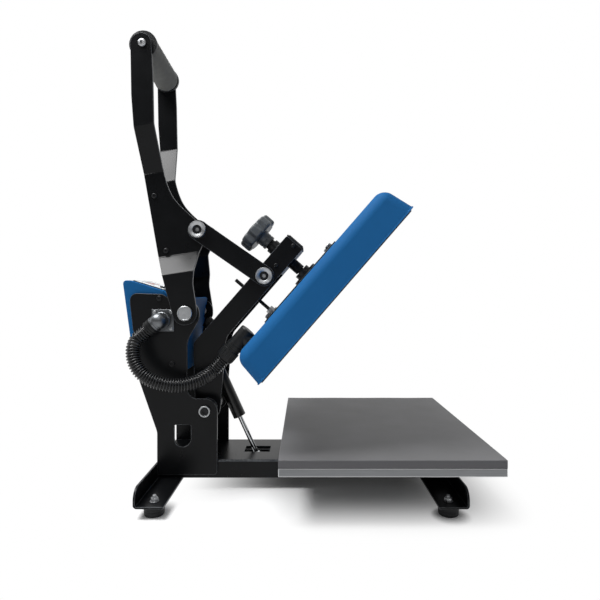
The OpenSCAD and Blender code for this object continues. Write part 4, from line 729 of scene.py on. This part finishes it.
# Heater: a steel-sheathed tube, heat-tinted brown, laid in runs on the plate
sheath, tree, place = blank("heat tinted steel sheath")
tint = add(tree, "ShaderNodeTexNoise", {"Vector": place, "Scale": 1 / (35 * MM), "Detail": 4})
tone = add(tree, "ShaderNodeMix", {SHARE: tint, LOW: "#4a3c33", HIGH: "#76695e"}, data_type="RGBA")
surfaced(tree, {"Base Color": tone, "Metallic": 0.8, "Roughness": 0.5})
nodes["heating_element"].material_slots[0].material = sheath

# The cover: a box with drafted walls and round corners, open below, with a lip round its foot
COVER_X, COVER_Y, COVER_H, COVER_W = 207, 257, 63, -40
DRAFT, LIP, WALL = 8, 1.2, 2.4
cover = bmesh.new()
bmesh.ops.create_cube(cover, size=2 * MM, matrix=shift(0, 0, COVER_H / 2)
                      @ Matrix.Diagonal((COVER_X, COVER_Y, COVER_H / 2, 1)))
roof = [v for v in cover.verts if v.co.z > COVER_H / 2 * MM]
bmesh.ops.scale(cover, vec=((COVER_X - DRAFT) / COVER_X, (COVER_Y - DRAFT) / COVER_Y, 1), verts=roof)
rounded(cover, [e for e in cover.edges if any(v in roof for v in e.verts)], 20, 12)
bmesh.ops.delete(cover, geom=[f for f in cover.faces if f.normal.z < -0.9], context="FACES")
for height in (1.6, 3.0):
    bmesh.ops.bisect_plane(cover, geom=cover.verts[:] + cover.edges[:] + cover.faces[:],
                           plane_co=(0, 0, height * MM), plane_no=(0, 0, 1))
foot = [v for v in cover.verts if v.co.z < 2 * MM]
bmesh.ops.scale(cover, vec=((COVER_X + LIP) / COVER_X, (COVER_Y + LIP) / COVER_Y, 1), verts=foot)
bmesh.ops.recalc_face_normals(cover, faces=cover.faces)
bmesh.ops.solidify(cover, geom=cover.faces[:], thickness=WALL * MM)
bmesh.ops.transform(cover, matrix=arm @ shift(SPINDLE_U, 0, COVER_W), verts=cover.verts)
fitted("platen_cover_moulded", cover, [blue_abs], "platen", "blue_plastic", "platen_cover")

eased("mount_plate", 0.8, powder_coat, "black_paint")
eased("mount_posts", 0.5, zinc, "grey_steel")
eased("spindle_socket", 0.6, black_oxide, "zinc")
mount_bolts = bmesh.new()
for u in MOUNT_U:
    for y in (-MOUNT_Y, MOUNT_Y):
        at = arm @ shift(u, y, 0)
        stacked(mount_bolts, turned(SMALL, (8.3, 29), (8.6, 29.3), (8.6, 30.3), (8.2, 30.6)), at)
        stacked(mount_bolts, hex_nut(13, 30.6, 35.4) + turned(ROUND, (4, 35.4), (3.6, 36)), at)
fitted("mount_plate_bolts", mount_bolts, [nickel], "platen", "zinc", "mount_bolts")
guide = bmesh.new()
at = arm @ shift(GUIDE_U, 0, 0)
stacked(guide, thread(4, 33, 141, 1.5) + turned(ROUND, (3.2, 141)), at, skin=1)
stacked(guide, turned(SMALL, (13.6, 29), (14, 29.4), (14, 32.4), (13.6, 33)), at)
stacked(guide, hex_nut(16, 33, 42), at)
fitted("guide_rod_threaded", guide, [zinc, black_oxide], "platen", "zinc", "guide_rod")

# Hose elbow: moulded nylon elbow on the cover, with a fluted clamp nut that takes the hose.
# One moulding with a flange at its foot; the nut screws on and grips the last ribs.
ELBOW_U, ELBOW_Y, ELBOW_H = 171, -78, 19
FLUTES = 96
elbow = bmesh.new()
foot = arm @ shift(ELBOW_U, ELBOW_Y, COVER_W + COVER_H)
stacked(elbow, turned(ROUND, (11, -6), (11, 0), (18.4, 0), (18.8, 0.5), (18.8, 3), (18.2, 3.6), (16.4, 4),
                      (16.4, ELBOW_H)), foot)
back = foot @ shift(0, 0, ELBOW_H) @ Matrix.Rotation(radians(-90), 4, "Y")
stacked(elbow, turned(ROUND, (13.6, -17.6), (15.8, -17), (16.7, -15.6), (17, -13.4), (17, 24),
                      (18.4, 24.6), (18.4, 30), (17, 30.6), (17, 37)), back)


def fluted(angle):
    """Twenty-four shallow flutes round the clamp nut, as a share of its radius."""
    return 1 + 0.022 * cos(24 * angle)


stacked(elbow, turned(FLUTES, (17.6, 36.5), (18.8, 37.6), (18.8, 57), (17.4, 61), (14.8, 62), (14.4, 60)),
        back, lobes=fluted)
fitted("hose_elbow_moulded", elbow, [nylon], "platen", "rubber", "hose_elbow")

# Pressure screw: a trapezoidal spindle through the nut block, with a lobed knob on top.
# Rolled thread in black oxide steel; the knob is moulded phenolic with eight rounded grips.
KNOB_W, RIM = 159, 128
GRIP_STEP, HOLLOW_DEPTH, HOLLOW_HALF = 45, 0.136, 13
screw_axis = arm @ shift(SPINDLE_U, 0, 0)
knob_foot = screw_axis @ shift(0, 0, KNOB_W)
spindle = bmesh.new()
rod = turned(ROUND, (7.4, 32.6), (8, 33.2), (8, 45), (11.6, 45)) + thread(12.5, 45.5, 178.5, 4)
stacked(spindle, rod + turned(ROUND, (11.8, 179)), screw_axis)
fitted("spindle_threaded", spindle, [black_oxide], "screw", "zinc", "spindle")


def grips(angle):
    """Eight hollows round the knob's rim, as a share of its radius."""
    off = abs((angle / radians(GRIP_STEP)) % 1 - 0.5) * GRIP_STEP
    return 1 - HOLLOW_DEPTH * max(0, cos(radians(min(90, off * 90 / HOLLOW_HALF)))) ** 1.3


# Phenolic: dark grey, hard and slightly glossy, with a swirled filler
phenolic, tree, place = blank("moulded phenolic")
swirl = add(tree, "ShaderNodeTexNoise", {"Vector": place, "Scale": 1 / (11 * MM), "Detail": 6,
                                         "Distortion": 1.2})
grain = add(tree, "ShaderNodeTexNoise", {"Vector": place, "Scale": 1 / (0.9 * MM), "Detail": 2})
tone = add(tree, "ShaderNodeMix", {SHARE: swirl, LOW: "#383c3f", HIGH: "#505457"}, data_type="RGBA")
bump = add(tree, "ShaderNodeBump", {"Height": grain, "Strength": 0.1, "Distance": 0.2 * MM})
surfaced(tree, {"Base Color": tone, "Roughness": 0.4, "Normal": bump, "Specular IOR Level": 0.5})
knob = bmesh.new()
stacked(knob, turned(RIM, (20, 0), (38, 0), (41.5, 0.9), (43.6, 3), (44, 6), (44, 22), (43.4, 25),
                     (41.2, 27.2), (37.5, 28)), knob_foot, lobes=grips)
stacked(knob, turned(ROUND, (36, 27.5), (33, 28), (30, 27.8), (27, 26.9), (14, 26.6), (13, 27.4),
                     (11.6, 27.6), (0.5, 27.6)), knob_foot)
stacked(knob, turned(ROUND, (13, -22), (16, -22), (16.5, -21.4), (16.5, -16), (15.6, -15.4), (15.6, -13),
                     (16.5, -12.4), (16.5, -4), (20, 0.5), (14, 1)), knob_foot)
fitted("pressure_knob_moulded", knob, [phenolic], "screw", "rubber", "pressure_knob")

# Studio: a pale floor, a large soft lamp overhead on the left, a weaker one high in front, and the camera.
# The floor and the world are white to the camera. Metal and glass show that white too, and the dim room
# behind the camera. The floor keeps the shadow.
SHADE_X, SHADE_HALF_X, SHADE_HALF_Y = 0.11, 0.37, 0.3
FEET_MID, FEET_HALF = (FOOT_X[0] + FOOT_X[1]) / 2 * MM, (FOOT_X[1] - FOOT_X[0]) / 2 * MM
WHITE = "#ffffff"
floor = bmesh.new()
bmesh.ops.create_grid(floor, x_segments=1, y_segments=1, size=30)
floor_mesh = bpy.data.meshes.new("studio_floor")
floor.to_mesh(floor_mesh)
floor.free()
floor = bpy.data.objects.new("studio_floor", floor_mesh)
bpy.context.scene.collection.objects.link(floor)
paper = bpy.data.materials.new("white studio paper")
paper.use_nodes = True
tree = paper.node_tree
tree.nodes.clear()
ray = add(tree, "ShaderNodeLightPath")
seen = add(tree, "ShaderNodeMath", {0: ray.outputs["Is Camera Ray"], 1: ray.outputs["Is Glossy Ray"]},
           operation="MAXIMUM")
seen = add(tree, "ShaderNodeMath", {0: seen, 1: ray.outputs["Is Transmission Ray"]}, operation="MAXIMUM")
spot = add(tree, "ShaderNodeTexCoord").outputs["Object"]
# Away from the press the paper is plain white to the eye; under it, it is lit and shaded as paper is
spread = add(tree, "ShaderNodeMapping", {"Vector": spot, "Location": (-SHADE_X / SHADE_HALF_X, 0, 0),
                                         "Scale": (1 / SHADE_HALF_X, 1 / SHADE_HALF_Y, 1)})
square = add(tree, "ShaderNodeVectorMath", {0: spread, 1: spread}, operation="MULTIPLY")
away = add(tree, "ShaderNodeVectorMath", {0: square}, operation="LENGTH")
clear = add(tree, "ShaderNodeMapRange", {"Value": away, "From Min": 0.08, "From Max": 0.95},
            interpolation_type="SMOOTHSTEP")
# Close round each foot the paper keeps its shade as well
fold = add(tree, "ShaderNodeVectorMath", {0: spot, 1: (-FEET_MID, 0, 0)}, operation="ADD")
fold = add(tree, "ShaderNodeVectorMath", {0: fold}, operation="ABSOLUTE")
foot_off = add(tree, "ShaderNodeVectorMath", {0: fold, 1: (FEET_HALF, FOOT_Y * MM, 0)},
               operation="DISTANCE")
foot_clear = add(tree, "ShaderNodeMapRange", {"Value": foot_off, "From Min": 0.016, "From Max": 0.065},
                 interpolation_type="SMOOTHSTEP")
clear = add(tree, "ShaderNodeMath", {0: clear, 1: foot_clear}, operation="MINIMUM")
clear = add(tree, "ShaderNodeMath", {0: clear, 1: seen}, operation="MULTIPLY")
lift = add(tree, "ShaderNodeMath", {0: seen, 1: 0.02}, operation="MULTIPLY")
matt = add(tree, "ShaderNodeBsdfDiffuse", {"Color": "#f4f4f4"})
glow = add(tree, "ShaderNodeEmission", {"Color": WHITE, "Strength": lift})
lit_paper = add(tree, "ShaderNodeAddShader", {0: matt, 1: glow})
white = add(tree, "ShaderNodeEmission", {"Color": WHITE, "Strength": 1.0})
both = add(tree, "ShaderNodeMixShader", {0: clear, 1: lit_paper, 2: white})
add(tree, "ShaderNodeOutputMaterial", {"Surface": both})
floor_mesh.materials.append(paper)

# The room is white behind the press and dim behind the camera, as a studio is
world = bpy.data.worlds.new("white studio")
bpy.context.scene.world = world
world.use_nodes = True
tree = world.node_tree
tree.nodes.clear()
ray = add(tree, "ShaderNodeLightPath")
aim = add(tree, "ShaderNodeSeparateXYZ", {0: add(tree, "ShaderNodeTexCoord").outputs["Generated"]})
mirrored = add(tree, "ShaderNodeMath", {0: ray.outputs["Is Glossy Ray"],
                                        1: ray.outputs["Is Transmission Ray"]}, operation="MAXIMUM")
mirror = add(tree, "ShaderNodeMapRange", {"Value": aim.outputs["Y"], "From Min": -0.5, "From Max": 0.5,
                                          "To Min": 0.1, "To Max": 1.0})
room = add(tree, "ShaderNodeMix", {"Factor": mirrored, "A": 0.22, "B": mirror})
shown = add(tree, "ShaderNodeMix", {"Factor": ray.outputs["Is Camera Ray"], "A": room, "B": 1.0})
sky = add(tree, "ShaderNodeBackground", {"Color": WHITE, "Strength": shown})
add(tree, "ShaderNodeOutputWorld", {"Surface": sky})

for name, size, power, stand, target in (("main_softbox", 1.25, 84, (-0.95, -0.4, 2.4), (0, 0, 0.3)),
                                        ("front_softbox", 1.4, 9, (0.5, -1.9, 2.3), (0, 0, 0.3))):
    lamp = bpy.data.lights.new(name, "AREA")
    lamp.size = size
    lamp.energy = power
    holder = bpy.data.objects.new(name, lamp)
    holder.location = stand
    holder.rotation_euler = (Vector(target) - Vector(stand)).to_track_quat("-Z", "Y").to_euler()
    bpy.context.scene.collection.objects.link(holder)

# The camera stands level on the near side; its shift frames the press as the photograph does
PICTURE = 600
camera = bpy.data.objects.new("camera", bpy.data.cameras.new("camera"))
camera.data.lens = 29.04
camera.data.sensor_width = 36
camera.data.shift_x = -5 / PICTURE
camera.data.shift_y = -8 / PICTURE
camera.location = (15.8 * MM, -1091.7 * MM, 415.4 * MM)
camera.rotation_euler = (radians(90), 0, 0)
bpy.context.scene.collection.objects.link(camera)
bpy.context.scene.camera = camera
bpy.context.scene.view_settings.view_transform = "Standard"
